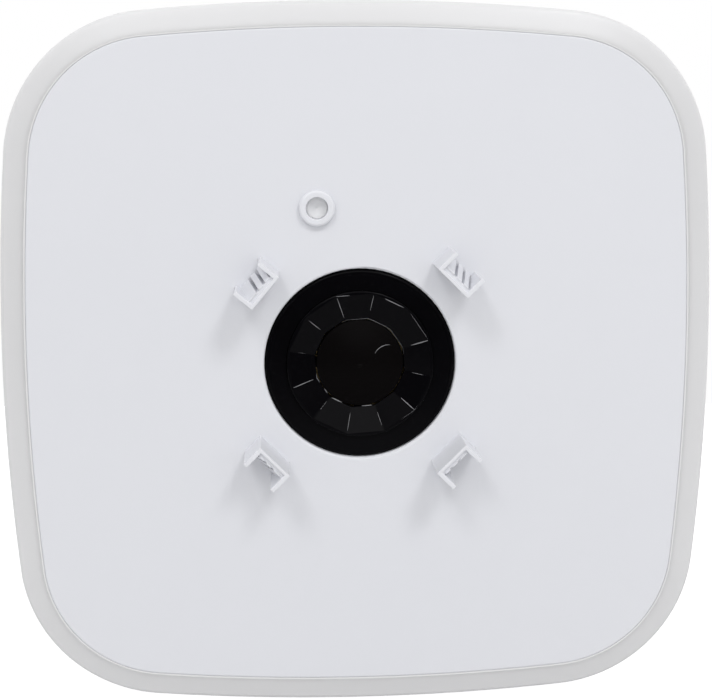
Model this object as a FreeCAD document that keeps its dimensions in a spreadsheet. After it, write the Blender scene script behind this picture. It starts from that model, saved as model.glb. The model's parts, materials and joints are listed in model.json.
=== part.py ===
import FreeCAD, Part
import math
import os
import Sketcher
from FreeCAD import Placement, Rotation, Vector

# Outdoor alarm siren on its wall bracket, seen with the outer faceplate taken off.
# X is to the right, Z is up and the wall is the plane y = 0.
# Depths are measured from the wall towards the viewer, so a depth d lies at y = -d.
# Angles are counterclockwise from +X as the viewer sees them.

SIZES = {
    # outline of the siren: four long side arcs joined by four corner arcs
    "half_size": 100.0,
    "side_radius": 648.0,
    "corner_radius": 42.0,
    # rear housing
    "back_gap": 1.0,
    "seam_depth": 22.0,
    "housing_inset": 0.8,
    "housing_wall": 2.4,
    "back_round": 14.0,
    "recess_space": 5.0,
    "recess_depth": 7.5,
    "recess_wall": 2.2,
    # wall bracket and its twist lock
    "bracket_radius": 58.0,
    "bracket_plate": 3.0,
    "bracket_rim": 2.5,
    "bracket_height": 6.3,
    "lug_reach": 4.0,
    "lug_thickness": 2.2,
    "lug_angle": 16.0,
    "lug_start": 45.0,
    "keeper_thickness": 2.0,
    "stop_angle": 2.5,
    "twist_gap": 0.3,
    "wall_hole_circle": 46.0,
    "wall_hole_radius": 2.25,
    "cable_hole_radius": 9.0,
    "tab_width": 16.0,
    "tab_below": 8.0,
    "tab_above": 12.5,
    "tab_hole_offset": 8.0,
    "tab_slit": 1.4,
    "tab_hole_radius": 2.0,
    # light frame
    "frame_wall": 2.0,
    "bevel_width": 6.7,
    "bevel_drop": 1.9,
    "frame_round": 1.6,
    "frame_flange": 3.6,
    "flange_thickness": 2.0,
    # front panel
    "panel_depth": 36.0,
    "panel_thickness": 2.5,
    "panel_gap": 0.4,
    "panel_round": 0.6,
    "mouth_radius": 26.95,
    "mouth_round": 0.7,
    "collar_x": -11.9,
    "collar_z": 43.8,
    "collar_radius": 5.0,
    "collar_bore": 3.05,
    "collar_height": 1.8,
    "collar_round": 0.8,
    # faceplate clips
    "clip_turn": 45.0,
    "clip_key_turn": 5.0,
    "clip_distance": 34.2,
    "clip_width": 11.4,
    "clip_reach": 6.6,
    "clip_height": 15.0,
    "clip_wall": 1.2,
    "clip_face": 1.9,
    "clip_lip": 1.0,
    "clip_notch": 0.8,
    "rib_width": 1.8,
    "rib_slot": 0.9,
    "rib_reach": 3.4,
    "rib_tip": 0.25,
    "rib_drop": 0.6,
    # sounder
    "bezel_depth": 35.3,
    "bezel_gap": 0.3,
    "bezel_bore": 20.9,
    "bezel_step": 25.2,
    "bezel_step_drop": 0.3,
    "bezel_round": 0.8,
    "sounder_flange_radius": 33.0,
    "sounder_flange_thickness": 2.7,
    "seal_width": 4.0,
    "seal_thickness": 0.8,
    "horn_gap": 0.15,
    "horn_lip_depth": 36.5,
    "horn_lip": 0.9,
    "throat_radius": 12.9,
    "throat_depth": 33.9,
    "facet_turn": 19.0,
    "horn_flange_gap": 0.3,
    "horn_flange_depth": 30.0,
    "horn_bore": 15.5,
    "horn_bore_depth": 31.0,
    "horn_bore_length": 5.0,
    "plug_gap": 0.25,
    "plug_rise": 2.0,
    "plug_arm": 3.0,
    "plug_arm_length": 14.8,
    "diaphragm_thickness": 0.3,
    "piezo_radius": 12.5,
    "cover_radius": 22.0,
    "cover_back_depth": 16.0,
    "cover_wall": 1.6,
    "cover_flange": 1.5,
    "skirt_wall": 2.5,
    "ear_distance": 37.0,
    "ear_radius": 3.5,
    # screws
    "screw_shank": 1.15,
    "screw_bore": 1.25,
    "screw_pass": 1.7,
    "screw_head": 2.6,
    "screw_head_height": 1.6,
    "socket_radius": 1.0,
    "socket_depth": 0.9,
    "housing_screw_margin": 30.0,
    "housing_screw_joint": 23.8,
    "housing_screw_post": 4.5,
    "housing_screw_recess": 3.4,
    "housing_screw_seat": 1.0,
    "board_screw_length": 8.6,
    "rear_screw_length": 6.1,
    "holder_screw_length": 7.3,
    "panel_boss_radius": 4.0,
    # gasket, reflector and light strips
    "gasket_width": 1.0,
    "gasket_thickness": 1.0,
    "gasket_gap": 0.1,
    "reflector_width": 12.0,
    "reflector_thickness": 1.2,
    "strip_spare": 2.5,
    "strip_width": 6.0,
    "strip_thickness": 0.8,
    "strip_inset": 9.0,
    "light_size": 3.2,
    "light_height": 1.4,
    "light_spacing": 18.0,
    "light_count": 6,
    # main board
    "board_thickness": 1.6,
    "main_board_space": 7.5,
    "main_board_half": 60.0,
    "main_board_clear": 1.5,
    "main_board_margin": 20.0,
    "board_edge": 6.0,
    "board_post": 3.2,
    "shield_x": -38.0,
    "shield_rise": 4.75,
    "shield_width": 26.0,
    "shield_length": 20.0,
    "shield_height": 3.0,
    "coil_x": 14.0,
    "coil_rise": 2.75,
    "coil_radius": 8.0,
    "coil_height": 8.0,
    "coil_core_radius": 6.4,
    "coil_flange": 1.0,
    "capacitor_x": 38.0,
    "capacitor_rise": 2.75,
    "capacitor_radius": 5.0,
    "capacitor_height": 12.0,
    "capacitor_spacing": 11.0,
    "antenna_length": 30.0,
    "antenna_height": 4.2,
    "antenna_thickness": 0.6,
    "chip_side": 7.0,
    "chip_height": 1.0,
    "chip_spacing": 10.5,
    "plug_width": 8.0,
    "plug_height": 4.5,
    "plug_spacing": 16.0,
    # indicator light
    "pipe_gap": 0.1,
    "pipe_recess": 0.5,
    "pipe_flange": 5.0,
    "pipe_flange_thickness": 1.5,
    "pipe_back": 0.3,
    "led_side": 3.0,
    "led_height": 1.0,
    # battery
    "cell_radius": 8.5,
    "cell_length": 33.3,
    "cell_nub_radius": 3.2,
    "cell_nub": 1.2,
    "cell_spacing": 18.5,
    "cell_row_z": -47.5,
    "cell_gap": 0.3,
    "contact_thickness": 0.4,
    "contact_bump": 1.0,
    "contact_side": 10.0,
    "holder_wall": 1.5,
    "holder_floor": 1.4,
    "holder_height": 14.0,
    "holder_ear": 8.0,
    "holder_ear_thickness": 2.0,
    # rear board
    "rear_board_depth": 14.0,
    "rear_board_half": 46.0,
    "rear_board_low": -33.0,
    "rear_board_high": 12.0,
    "terminal_z": -22.0,
    "terminal_width": 20.0,
    "terminal_length": 9.0,
    "terminal_back": 7.0,
    "terminal_ways": 4,
    "terminal_well": 1.8,
    "terminal_well_depth": 2.0,
    "terminal_well_rise": 1.5,
    "terminal_screw": 1.6,
    "terminal_screw_height": 1.0,
    "terminal_slot": 0.6,
    "terminal_slot_depth": 0.5,
    "terminal_mouth": 3.0,
    "terminal_mouth_height": 2.5,
    "terminal_rim": 1.0,
    "terminal_seal": 1.4,
    "terminal_seal_gap": 0.2,
    "terminal_seal_lip": 1.0,
    "terminal_seal_slack": 0.1,
    "switch_side": 6.2,
    "switch_stem": 1.6,
    "switch_stem_length": 0.9,
    "switch_spare": 0.1,
    # power button and tamper plunger
    "button_x": -30.0,
    "button_z": -20.0,
    "button_radius": 4.0,
    "button_gap": 0.1,
    "button_proud": 1.2,
    "button_flange": 5.2,
    "button_flange_thickness": 0.8,
    "button_travel": 0.6,
    "plunger_x": 30.0,
    "plunger_z": -20.0,
    "plunger_radius": 2.4,
    "plunger_gap": 0.08,
    "plunger_flange": 5.3,
    "plunger_flange_thickness": 0.8,
    "plunger_travel": 0.8,
    "plunger_rest_gap": 0.2,
    "spring_wire": 0.2,
    "spring_clearance": 0.12,
    "spring_turns": 4,
    # lock screw at the bottom edge
    "lock_depth": 4.6,
    "lock_groove": 4.0,
    "lock_groove_wall": 1.8,
    "lock_web": 2.6,
    "lock_boss_angle": 14.0,
    "lock_boss_radius": 49.0,
    "lock_shank": 1.4,
    "lock_pass": 1.5,
    "lock_length": 12.0,
    "lock_head": 2.8,
    "lock_head_height": 2.2,
    "lock_tip_gap": 0.7,
    # rear label
    "label_x": 0.0,
    "label_z": 26.0,
    "label_width": 46.0,
    "label_height": 22.0,
    "label_thickness": 0.2,
    # leads
    "lead_radius": 0.6,
    "lead_bend": 1.4,
    "lead_spacing": 2.0,
    "lead_gap": 0.2,
    "link_lead_count": 4,
    "battery_lead_x": 35.0,
    "strip_lead_x": -40.0,
    "strip_link_radius": 0.4,
    "strip_link_bend": 10.0,
    "strip_link_space": 0.6,
    "strip_lead_run": 2.0,
}

doc = FreeCAD.newDocument("outdoor_siren")
sheet = doc.addObject("Spreadsheet::Sheet", "dims")
for row, (alias, number) in enumerate(SIZES.items(), 1):
    sheet.set("A%d" % row, alias)
    sheet.set("B%d" % row, str(number))
    sheet.setAlias("B%d" % row, alias)
doc.recompute()

nodes = {}
over = 1.0  # how far a cutting shape runs past the face it opens


class Size:
    """A number together with the spreadsheet expression that gives it."""

    def __init__(self, value, text):
        self.value = value
        self.text = text

    def joined(self, other, sign, value):
        return Size(value, "(%s %s %s)" % (self.text, sign, other.text))

    def __add__(self, other):
        other = sized(other)
        return self.joined(other, "+", self.value + other.value)

    def __sub__(self, other):
        other = sized(other)
        return self.joined(other, "-", self.value - other.value)

    def __mul__(self, other):
        other = sized(other)
        return self.joined(other, "*", self.value * other.value)

    def __truediv__(self, other):
        other = sized(other)
        return self.joined(other, "/", self.value / other.value)

    def __neg__(self):
        return Size(-self.value, "(-1 * %s)" % self.text)

    def __radd__(self, other):
        return sized(other) + self

    def __rsub__(self, other):
        return sized(other) - self

    def __rmul__(self, other):
        return sized(other) * self


def sized(number):
    """A plain number as a Size."""
    if isinstance(number, Size):
        return number
    return Size(float(number), "%.6f" % number)


def root(size):
    return Size(math.sqrt(size.value), "sqrt(%s)" % size.text)


def cosine(size):
    return Size(math.cos(math.radians(size.value)), "cos(%s)" % size.text)


def sine(size):
    return Size(math.sin(math.radians(size.value)), "sin(%s)" % size.text)


class Dims:
    """The sheet's values by name."""

    def __getattr__(self, alias):
        return Size(float(sheet.get(alias)), "dims.%s" % alias)


d = Dims()


def bind(thing, **links):
    """Tie properties to the sheet; a double underscore in a name stands for a dot."""
    for name, size in links.items():
        thing.setExpression(name.replace("__", "."), sized(size).text)
    return thing


def node(name, thing):
    """Give a finished piece its name."""
    thing.Label = name
    nodes[name] = thing
    return thing


def turned(x, z, radius, angle):
    """The point at a radius and an angle round the point (x, z)."""
    return x + radius * cosine(sized(angle)), z + radius * sine(sized(angle))


# Sketch helpers: a sketch lies in the XZ plane at a depth, or in the XY plane for turned pieces

def sketch_on(body, plane, depth=None):
    sketch = body.newObject("Sketcher::SketchObject", "sketch")
    support = [item for item in body.Origin.OriginFeatures if item.Role == plane][0]
    sketch.AttachmentSupport = [(support, "")]
    sketch.MapMode = "FlatFace"
    if depth is not None:
        bind(sketch, AttachmentOffset__Base__z=depth)
    return sketch


def measure(sketch, kind, size, *where):
    """Add one distance or radius, tied to the sheet."""
    index = sketch.addConstraint(Sketcher.Constraint(kind, *where, size.value))
    sketch.setExpression("Constraints[%d]" % index, size.text)


def place_point(sketch, item, end, x, y):
    measure(sketch, "DistanceX", sized(x), -1, 1, item, end)
    measure(sketch, "DistanceY", sized(y), -1, 1, item, end)


def polygon(sketch, points):
    """A closed outline of straight lines through points given as pairs of sizes."""
    first = sketch.GeometryCount
    count = len(points)
    ends = [Vector(sized(x).value, sized(y).value, 0) for x, y in points]
    lines = [Part.LineSegment(ends[i], ends[(i + 1) % count]) for i in range(count)]
    sketch.addGeometry(lines, False)
    for i in range(count):
        following = first + (i + 1) % count
        sketch.addConstraint(Sketcher.Constraint("Coincident", first + i, 2, following, 1))
    for i, (x, y) in enumerate(points):
        place_point(sketch, first + i, 1, x, y)


def rectangle(sketch, left, right, low, high):
    polygon(sketch, [(left, low), (right, low), (right, high), (left, high)])


def circles(sketch, *rounds):
    """Circles given as (x, z, radius)."""
    for x, z, radius in rounds:
        item = sketch.GeometryCount
        centre = Vector(sized(x).value, sized(z).value, 0)
        sketch.addGeometry(Part.Circle(centre, Vector(0, 0, 1), sized(radius).value), False)
        place_point(sketch, item, 3, x, z)
        measure(sketch, "Radius", sized(radius), item)


def corner_centre():
    """How far each corner arc's centre lies from the middle, along X and along Z."""
    reach = d.side_radius - d.half_size
    spread = d.side_radius - d.corner_radius
    return (root(2 * spread * spread - reach * reach) - reach) / 2


def outline(sketch, inset):
    """The siren's outline moved inwards: eight arcs, each tangent to the next."""
    inset = sized(inset)
    first = sketch.GeometryCount
    centre = corner_centre().value
    reach = d.side_radius.value - d.half_size.value
    side = d.side_radius - inset
    corner = d.corner_radius - inset
    half_angle = math.atan2(centre, centre + reach)
    axis = Vector(0, 0, 1)
    arcs = []
    for quarter in range(4):
        turn = quarter * math.pi / 2
        spin = Rotation(axis, math.degrees(turn))
        side_circle = Part.Circle(spin.multVec(Vector(-reach, 0, 0)), axis, side.value)
        corner_circle = Part.Circle(spin.multVec(Vector(centre, centre, 0)), axis, corner.value)
        arcs.append(Part.ArcOfCircle(side_circle, turn - half_angle, turn + half_angle))
        corner_end = turn + math.pi / 2 - half_angle
        arcs.append(Part.ArcOfCircle(corner_circle, turn + half_angle, corner_end))
    sketch.addGeometry(arcs, False)
    for i in range(8):
        following = first + (i + 1) % 8
        sketch.addConstraint(Sketcher.Constraint("Tangent", first + i, 2, following, 1))
    for i in (2, 4, 6):
        sketch.addConstraint(Sketcher.Constraint("Equal", first, first + i))
        sketch.addConstraint(Sketcher.Constraint("Equal", first + 1, first + i + 1))
    measure(sketch, "Radius", side, first)
    measure(sketch, "Radius", corner, first + 1)
    signs = [(1, 1), (-1, 1), (-1, -1), (1, -1)]
    for i, (right, up) in enumerate(signs):
        place_point(sketch, first + 2 * i + 1, 3, right * corner_centre(), up * corner_centre())


# Features of a body: depths grow towards the viewer, a pad rises and a pocket cuts back

def new_body():
    body = doc.addObject("PartDesign::Body", "body")
    body.AllowCompound = True
    return body


def pad(body, depth, length, draw, *sizes):
    sketch = sketch_on(body, "XZ_Plane", depth)
    draw(sketch, *sizes)
    feature = body.newObject("PartDesign::Pad", "pad")
    feature.Profile = sketch
    return bind(feature, Length=length)


def pocket(body, depth, length, draw, *sizes):
    doc.recompute()
    before = body.Shape.Volume
    sketch = sketch_on(body, "XZ_Plane", depth)
    draw(sketch, *sizes)
    feature = body.newObject("PartDesign::Pocket", "pocket")
    feature.Profile = sketch
    bind(feature, Length=length)
    doc.recompute()
    if body.Shape.Volume > before - 0.01:
        raise ValueError("a pocket cut nothing in %s" % body.Name)
    return feature


def spun(body, points):
    """A solid turned about the Y axis; points are (radius, depth)."""
    sketch = sketch_on(body, "XY_Plane")
    polygon(sketch, [(radius, -sized(depth)) for radius, depth in points])
    feature = body.newObject("PartDesign::Revolution", "spun")
    feature.Profile = sketch
    feature.ReferenceAxis = (sketch, ["V_Axis"])
    feature.Angle = 360
    return feature


def edges_at(shape, depth, wanted):
    """Names of the edges that lie flat at a depth and pass a test."""
    names = []
    for number, edge in enumerate(shape.Edges, 1):
        box = edge.BoundBox
        if max(abs(box.YMin + depth.value), abs(box.YMax + depth.value)) < 0.001 and wanted(edge):
            names.append("Edge%d" % number)
    return names


def rounded(body, radius, depth, wanted):
    doc.recompute()
    base = body.Tip
    feature = body.newObject("PartDesign::Fillet", "rounded")
    feature.Base = (base, edges_at(base.Shape, depth, wanted))
    return bind(feature, Radius=radius)


def shelled(body, wall, depth):
    """Hollow the body out from the face at a depth, the wall growing inwards."""
    doc.recompute()
    base = body.Tip
    faces = []
    for number, face in enumerate(base.Shape.Faces, 1):
        box = face.BoundBox
        if max(abs(box.YMin + depth.value), abs(box.YMax + depth.value)) < 0.001:
            faces.append("Face%d" % number)
    feature = body.newObject("PartDesign::Thickness", "shelled")
    feature.Base = (base, faces)
    feature.Reversed = True
    return bind(feature, Value=wall)


def far_out(distance):
    """A test for edges whose nearest point is at least this far from the middle."""
    def wanted(edge):
        return min(math.hypot(point.X, point.Z) for point in edge.Vertexes) > distance
    return wanted


def ring_of(radius, x=0.0, z=0.0):
    """A test for a full circle of a radius about a point."""
    def wanted(edge):
        if not isinstance(edge.Curve, Part.Circle):
            return False
        centre = edge.Curve.Center
        close = math.hypot(centre.x - x, centre.z - z) < 0.01
        return close and abs(edge.Curve.Radius - radius) < 0.01
    return wanted


# Plain solids and what is cut from them

def block(left, right, low, high, back, front):
    box = doc.addObject("Part::Box", "block")
    back = sized(back)
    front = sized(front)
    left = sized(left)
    low = sized(low)
    bind(box, Length=sized(right) - left, Width=front - back, Height=sized(high) - low)
    bind(box, Placement__Base__x=left, Placement__Base__y=-front, Placement__Base__z=low)
    return box


def rod(x, z, radius, back, front, start=0.0, angle=None):
    """A round rod, or a slice of one, along the depth."""
    cylinder = doc.addObject("Part::Cylinder", "rod")
    back = sized(back)
    spin = Rotation(Vector(0, -1, 0), start)
    cylinder.Placement = Placement(Vector(), spin * Rotation(Vector(1, 0, 0), 90))
    bind(cylinder, Radius=radius, Height=sized(front) - back)
    bind(cylinder, Placement__Base__x=x, Placement__Base__y=-back, Placement__Base__z=z)
    if angle is not None:
        bind(cylinder, Angle=angle)
    return cylinder


def cross_rod(left, right, z, depth, radius):
    """A round rod along X."""
    cylinder = doc.addObject("Part::Cylinder", "cross_rod")
    cylinder.Placement = Placement(Vector(), Rotation(Vector(0, 1, 0), 90))
    left = sized(left)
    bind(cylinder, Radius=radius, Height=sized(right) - left)
    bind(cylinder, Placement__Base__x=left, Placement__Base__y=-sized(depth), Placement__Base__z=z)
    return cylinder


def upright(x, depth, radius, low, high):
    """A round rod along Z."""
    cylinder = doc.addObject("Part::Cylinder", "upright")
    low = sized(low)
    bind(cylinder, Radius=radius, Height=sized(high) - low)
    bind(cylinder, Placement__Base__x=x, Placement__Base__y=-sized(depth), Placement__Base__z=low)
    return cylinder


def fuse(*solids):
    joined = doc.addObject("Part::MultiFuse", "joined")
    joined.Shapes = list(solids)
    joined.Refine = True
    return joined


def cut(base, *tools):
    left_over = doc.addObject("Part::Cut", "cut")
    left_over.Base = base
    left_over.Tool = tools[0] if len(tools) == 1 else fuse(*tools)
    left_over.Refine = True
    return left_over


def group(*solids):
    together = doc.addObject("Part::Compound", "group")
    together.Links = list(solids)
    return together


def tube(x, z, inner, outer, back, front):
    hollow = rod(x, z, inner, sized(back) - over, sized(front) + over)
    return cut(rod(x, z, outer, back, front), hollow)


def sector(inner, outer, start, angle, back, front):
    hollow = rod(0, 0, inner, sized(back) - over, sized(front) + over)
    return cut(rod(0, 0, outer, back, front, start, angle), hollow)


def quarters():
    return [turn * 90.0 for turn in range(4)]


def corners(place):
    return [(sx * place, sz * place) for sx in (-1, 1) for sz in (-1, 1)]


def screw_towards_front(x, z, seat, tip):
    """A screw driven from the back: its head's seat and its tip as depths."""
    seat = sized(seat)
    head_back = seat - d.screw_head_height
    head = rod(x, z, d.screw_head, head_back, seat)
    shank = rod(x, z, d.screw_shank, seat, tip)
    socket = rod(x, z, d.socket_radius, head_back - over, head_back + d.socket_depth)
    return cut(fuse(head, shank), socket)


def screw_towards_wall(x, z, seat, tip):
    """A screw driven from the front."""
    seat = sized(seat)
    head_front = seat + d.screw_head_height
    head = rod(x, z, d.screw_head, seat, head_front)
    shank = rod(x, z, d.screw_shank, tip, seat)
    socket = rod(x, z, d.socket_radius, head_front - d.socket_depth, head_front + over)
    return cut(fuse(head, shank), socket)


# Depths and places that several pieces share
panel_back = d.panel_depth - d.panel_thickness
panel_inset = d.bevel_width + d.panel_gap
flange_front = panel_back
flange_back = flange_front - d.flange_thickness
floor_front = d.recess_depth + d.recess_wall
housing_floor = d.back_gap + d.housing_wall
rim_inset = d.housing_inset + d.housing_wall
recess_radius = d.bracket_radius + d.recess_space
lug_radius = d.bracket_radius + d.lug_reach
lug_back = d.bracket_height - d.lug_thickness
gasket_inset = d.frame_wall + d.gasket_gap
reflector_back = d.seam_depth + d.gasket_thickness
reflector_front = reflector_back + d.reflector_thickness
strip_front = reflector_front + d.strip_thickness
strip_end = corner_centre() + d.strip_spare
main_board_depth = panel_back - d.main_board_space
main_front = main_board_depth + d.board_thickness
main_low = d.sounder_flange_radius + d.main_board_clear
main_high = d.half_size - d.main_board_margin
main_middle = (main_low + main_high) / 2
shield_z = main_middle + d.shield_rise
rear_front = d.rear_board_depth + d.board_thickness
horn_back_depth = d.horn_bore_depth - d.horn_bore_length
cover_front = horn_back_depth - d.diaphragm_thickness
bezel_radius = d.mouth_radius - d.bezel_gap
skirt_radius = bezel_radius - d.skirt_wall
horn_flange_radius = skirt_radius - d.horn_flange_gap
bezel_flange_front = panel_back - d.seal_thickness
bezel_flange_back = bezel_flange_front - d.sounder_flange_thickness
horn_radius = d.bezel_bore - d.horn_gap
cell_span = d.cell_length + d.cell_nub
cell_slot = cell_span + 2 * (d.contact_thickness + d.contact_bump)
holder_half_width = d.holder_wall * 1.5 + cell_slot
holder_high = d.cell_row_z + d.cell_radius + d.cell_gap + d.holder_wall
holder_low = d.cell_row_z - d.cell_spacing - d.cell_radius - d.cell_gap - d.holder_wall
holder_middle = d.cell_row_z - d.cell_spacing / 2
cell_depth = floor_front + d.holder_floor + d.cell_gap + d.cell_radius
ear_x = holder_half_width + d.holder_ear / 2
lead_hole_depth = d.cover_back_depth + d.cover_wall + d.lead_spacing + d.lead_gap
housing_screw_seat = d.back_gap + d.screw_head_height + d.housing_screw_seat
housing_screw_place = d.half_size - d.housing_screw_margin
main_posts = [
    (side * (d.main_board_half - d.board_edge), z)
    for side in (-1, 1)
    for z in (main_low + d.board_edge, main_high - d.board_edge)
]
rear_posts = [
    (side * (d.rear_board_half - d.board_edge), z)
    for side in (-1, 1)
    for z in (d.rear_board_low + d.board_edge, d.rear_board_high - d.board_edge)
]
sounder_ears = [
    turned(sized(0), sized(0), d.ear_distance, d.clip_turn + quarter) for quarter in quarters()
]


def housing_block():
    """The outer form of the housing, still solid."""
    body = new_body()
    pad(body, d.back_gap, d.seam_depth - d.back_gap, outline, d.housing_inset)
    rounded(body, d.back_round, d.back_gap, far_out(0))
    return body


def rear_housing():
    body = housing_block()
    shelled(body, d.housing_wall, d.seam_depth)
    wall_radius = recess_radius + d.recess_wall
    pad(body, housing_floor, floor_front - housing_floor, circles, (0, 0, wall_radius))
    groove_half = d.lock_groove + d.lock_groove_wall
    web_outside = -(recess_radius + d.lock_web)
    groove = doc.addObject("Part::Common", "groove")
    groove.Base = housing_block()
    groove.Tool = block(-groove_half, groove_half, -d.half_size - over, web_outside,
                        0, floor_front)
    pocket(body, d.recess_depth, d.recess_depth - d.back_gap, circles, (0, 0, recess_radius))
    for x, z in corners(housing_screw_place):
        pad(body, housing_floor, d.housing_screw_joint - housing_floor, circles,
            (x, z, d.housing_screw_post))
    for x, z in main_posts:
        pad(body, housing_floor, main_board_depth - housing_floor, circles, (x, z, d.board_post))
    for x, z in rear_posts:
        pad(body, d.recess_depth, d.rear_board_depth - d.recess_depth, circles, (x, z, d.board_post))
    for x in (-ear_x, ear_x):
        pad(body, housing_floor, floor_front - housing_floor, circles,
            (x, holder_middle, d.board_post))
    keeper_front = lug_back - d.twist_gap
    keepers = [
        sector(d.bracket_radius + d.twist_gap, recess_radius + over,
               d.lug_start.value - d.lug_angle.value / 2 + turn, d.lug_angle,
               keeper_front - d.keeper_thickness, keeper_front)
        for turn in quarters()
    ]
    tools = []
    for x, z in corners(housing_screw_place):
        tools.append(rod(x, z, d.screw_pass, 0, d.housing_screw_joint + over))
        tools.append(rod(x, z, d.housing_screw_recess, 0, housing_screw_seat))
    for x, z in main_posts:
        tools.append(rod(x, z, d.screw_bore, housing_floor + over, main_board_depth + over))
    for x, z in rear_posts:
        tools.append(rod(x, z, d.screw_bore, d.recess_depth + over, d.rear_board_depth + over))
    for x in (-ear_x, ear_x):
        tools.append(rod(x, holder_middle, d.screw_bore, housing_floor, floor_front + over))
    seal_half_width = d.terminal_width / 2 + d.terminal_seal + d.terminal_seal_gap
    seal_half_length = d.terminal_length / 2 + d.terminal_seal + d.terminal_seal_gap
    tools.append(block(-seal_half_width, seal_half_width, d.terminal_z - seal_half_length,
                       d.terminal_z + seal_half_length, d.recess_depth - over, floor_front + over))
    tools.append(rod(d.button_x, d.button_z, d.button_radius + d.button_gap,
                     d.recess_depth - over, floor_front + over))
    tools.append(rod(d.plunger_x, d.plunger_z, d.plunger_radius + d.plunger_gap,
                     d.recess_depth - over, floor_front + over))
    tools.append(block(-d.lock_groove, d.lock_groove, -d.half_size - over, web_outside,
                       0, floor_front - d.lock_groove_wall))
    tools.append(upright(0, d.lock_depth, d.lock_pass, -recess_radius - d.lock_web - over,
                         -recess_radius + over))
    node("rear_housing", cut(fuse(body, groove, *keepers), *tools))


def wall_bracket():
    solids = [
        rod(0, 0, d.bracket_radius, 0, d.bracket_plate),
        tube(0, 0, d.bracket_radius - d.bracket_rim, d.bracket_radius, 0, d.bracket_height),
    ]
    half_lug = d.lug_angle.value / 2
    # the keeper stands beside the stop with the twist gap at the rim
    clear = math.degrees(d.twist_gap.value / d.bracket_radius.value)
    for turn in quarters():
        middle = d.lug_start.value + turn
        inside = d.bracket_radius - d.bracket_rim
        solids.append(sector(inside, lug_radius, middle - half_lug, d.lug_angle,
                             lug_back, d.bracket_height))
        start = middle - half_lug - clear - d.stop_angle.value
        solids.append(sector(inside, lug_radius, start, d.stop_angle + clear,
                             lug_back, d.bracket_height))
        solids.append(sector(inside, lug_radius, start, d.stop_angle,
                             0, d.bracket_height))
    boss_start = -90 - d.lock_boss_angle.value / 2
    solids.append(sector(d.lock_boss_radius, d.bracket_radius, boss_start, d.lock_boss_angle,
                         0, d.recess_depth - d.twist_gap))
    tools = [
        rod(x, z, d.wall_hole_radius, -over, d.bracket_plate + over)
        for x, z in [turned(sized(0), sized(0), d.wall_hole_circle, d.lug_start + turn)
                     for turn in quarters()]
    ]
    tools.append(rod(0, d.terminal_z, d.cable_hole_radius, -over, d.bracket_plate + over))
    tools.append(upright(0, d.lock_depth, d.screw_bore, -d.bracket_radius - over,
                         -d.lock_boss_radius + over))
    half = d.tab_width / 2
    left = d.plunger_x - half
    right = d.plunger_x + half
    low = d.plunger_z - d.tab_below
    high = d.plunger_z + d.tab_above
    for edge in (left, right):
        tools.append(block(edge - d.tab_slit, edge, low, high, -over, d.bracket_plate + over))
    tools.append(block(left - d.tab_slit, right, high, high + d.tab_slit,
                       -over, d.bracket_plate + over))
    tools.append(rod(d.plunger_x, d.plunger_z + d.tab_hole_offset, d.tab_hole_radius,
                     -over, d.bracket_plate + over))
    node("wall_bracket", cut(fuse(*solids), *tools))


def light_frame():
    body = new_body()
    edge = d.panel_depth - d.bevel_drop
    pad(body, d.seam_depth, edge - d.seam_depth, outline, 0)
    bevel = body.newObject("PartDesign::AdditiveLoft", "bevel")
    wide = sketch_on(body, "XZ_Plane", edge)
    outline(wide, 0)
    narrow = sketch_on(body, "XZ_Plane", d.panel_depth)
    outline(narrow, d.bevel_width)
    bevel.Profile = wide
    bevel.Sections = [narrow]
    bevel.Ruled = True
    rounded(body, d.frame_round, edge, far_out(0))
    inner = d.bevel_width + d.frame_flange
    pocket(body, d.panel_depth, d.panel_depth - d.seam_depth, outline, inner)
    pocket(body, flange_back, flange_back - d.seam_depth, outline, d.frame_wall)
    pocket(body, d.panel_depth, d.panel_thickness, outline, d.bevel_width)
    node("light_frame", body)


def clip_turns():
    """One clip stands off its diagonal, so the faceplate goes on only one way up."""
    turns = [d.clip_turn + quarter for quarter in quarters()]
    turns[1] = turns[1] + d.clip_key_turn
    return turns


def clip_point(turn, out, along):
    """A point of a clip, given outwards from the middle and along its face."""
    east = out * cosine(turn) - along * sine(turn)
    up = out * sine(turn) + along * cosine(turn)
    return east, up


def clip_walls(sketch, near, far, half, mouth):
    """The U of each clip: its closed side near the middle and its mouth facing outwards."""
    corners_of = [(near, -half), (far, -half), (far, -half + d.clip_wall)]
    corners_of += [(mouth, -half + d.clip_wall), (mouth, half - d.clip_wall)]
    corners_of += [(far, half - d.clip_wall), (far, half), (near, half)]
    for turn in clip_turns():
        polygon(sketch, [clip_point(turn, out, along) for out, along in corners_of])


def clip_steps(sketch, near, far, half):
    corners_of = [(near, -half), (far, -half), (far, half), (near, half)]
    for turn in clip_turns():
        polygon(sketch, [clip_point(turn, out, along) for out, along in corners_of])


def clip_rib(body, turn, wall, low, width):
    """A rib on the clip's closed side that widens from its tip to its foot."""
    sketch = sketch_on(body, "XY_Plane")
    sketch.AttachmentOffset = Placement(Vector(), Rotation(Vector(0, -1, 0), turn.value))
    bind(sketch, AttachmentOffset__Base__x=-low * sine(turn),
         AttachmentOffset__Base__z=low * cosine(turn))
    tip = d.panel_depth + d.clip_height - d.rib_drop
    polygon(sketch, [(wall, -d.panel_depth), (wall + d.rib_reach, -d.panel_depth),
                     (wall + d.rib_tip, -tip), (wall, -tip)])
    feature = body.newObject("PartDesign::Pad", "rib")
    feature.Profile = sketch
    bind(feature, Length=width)


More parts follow.
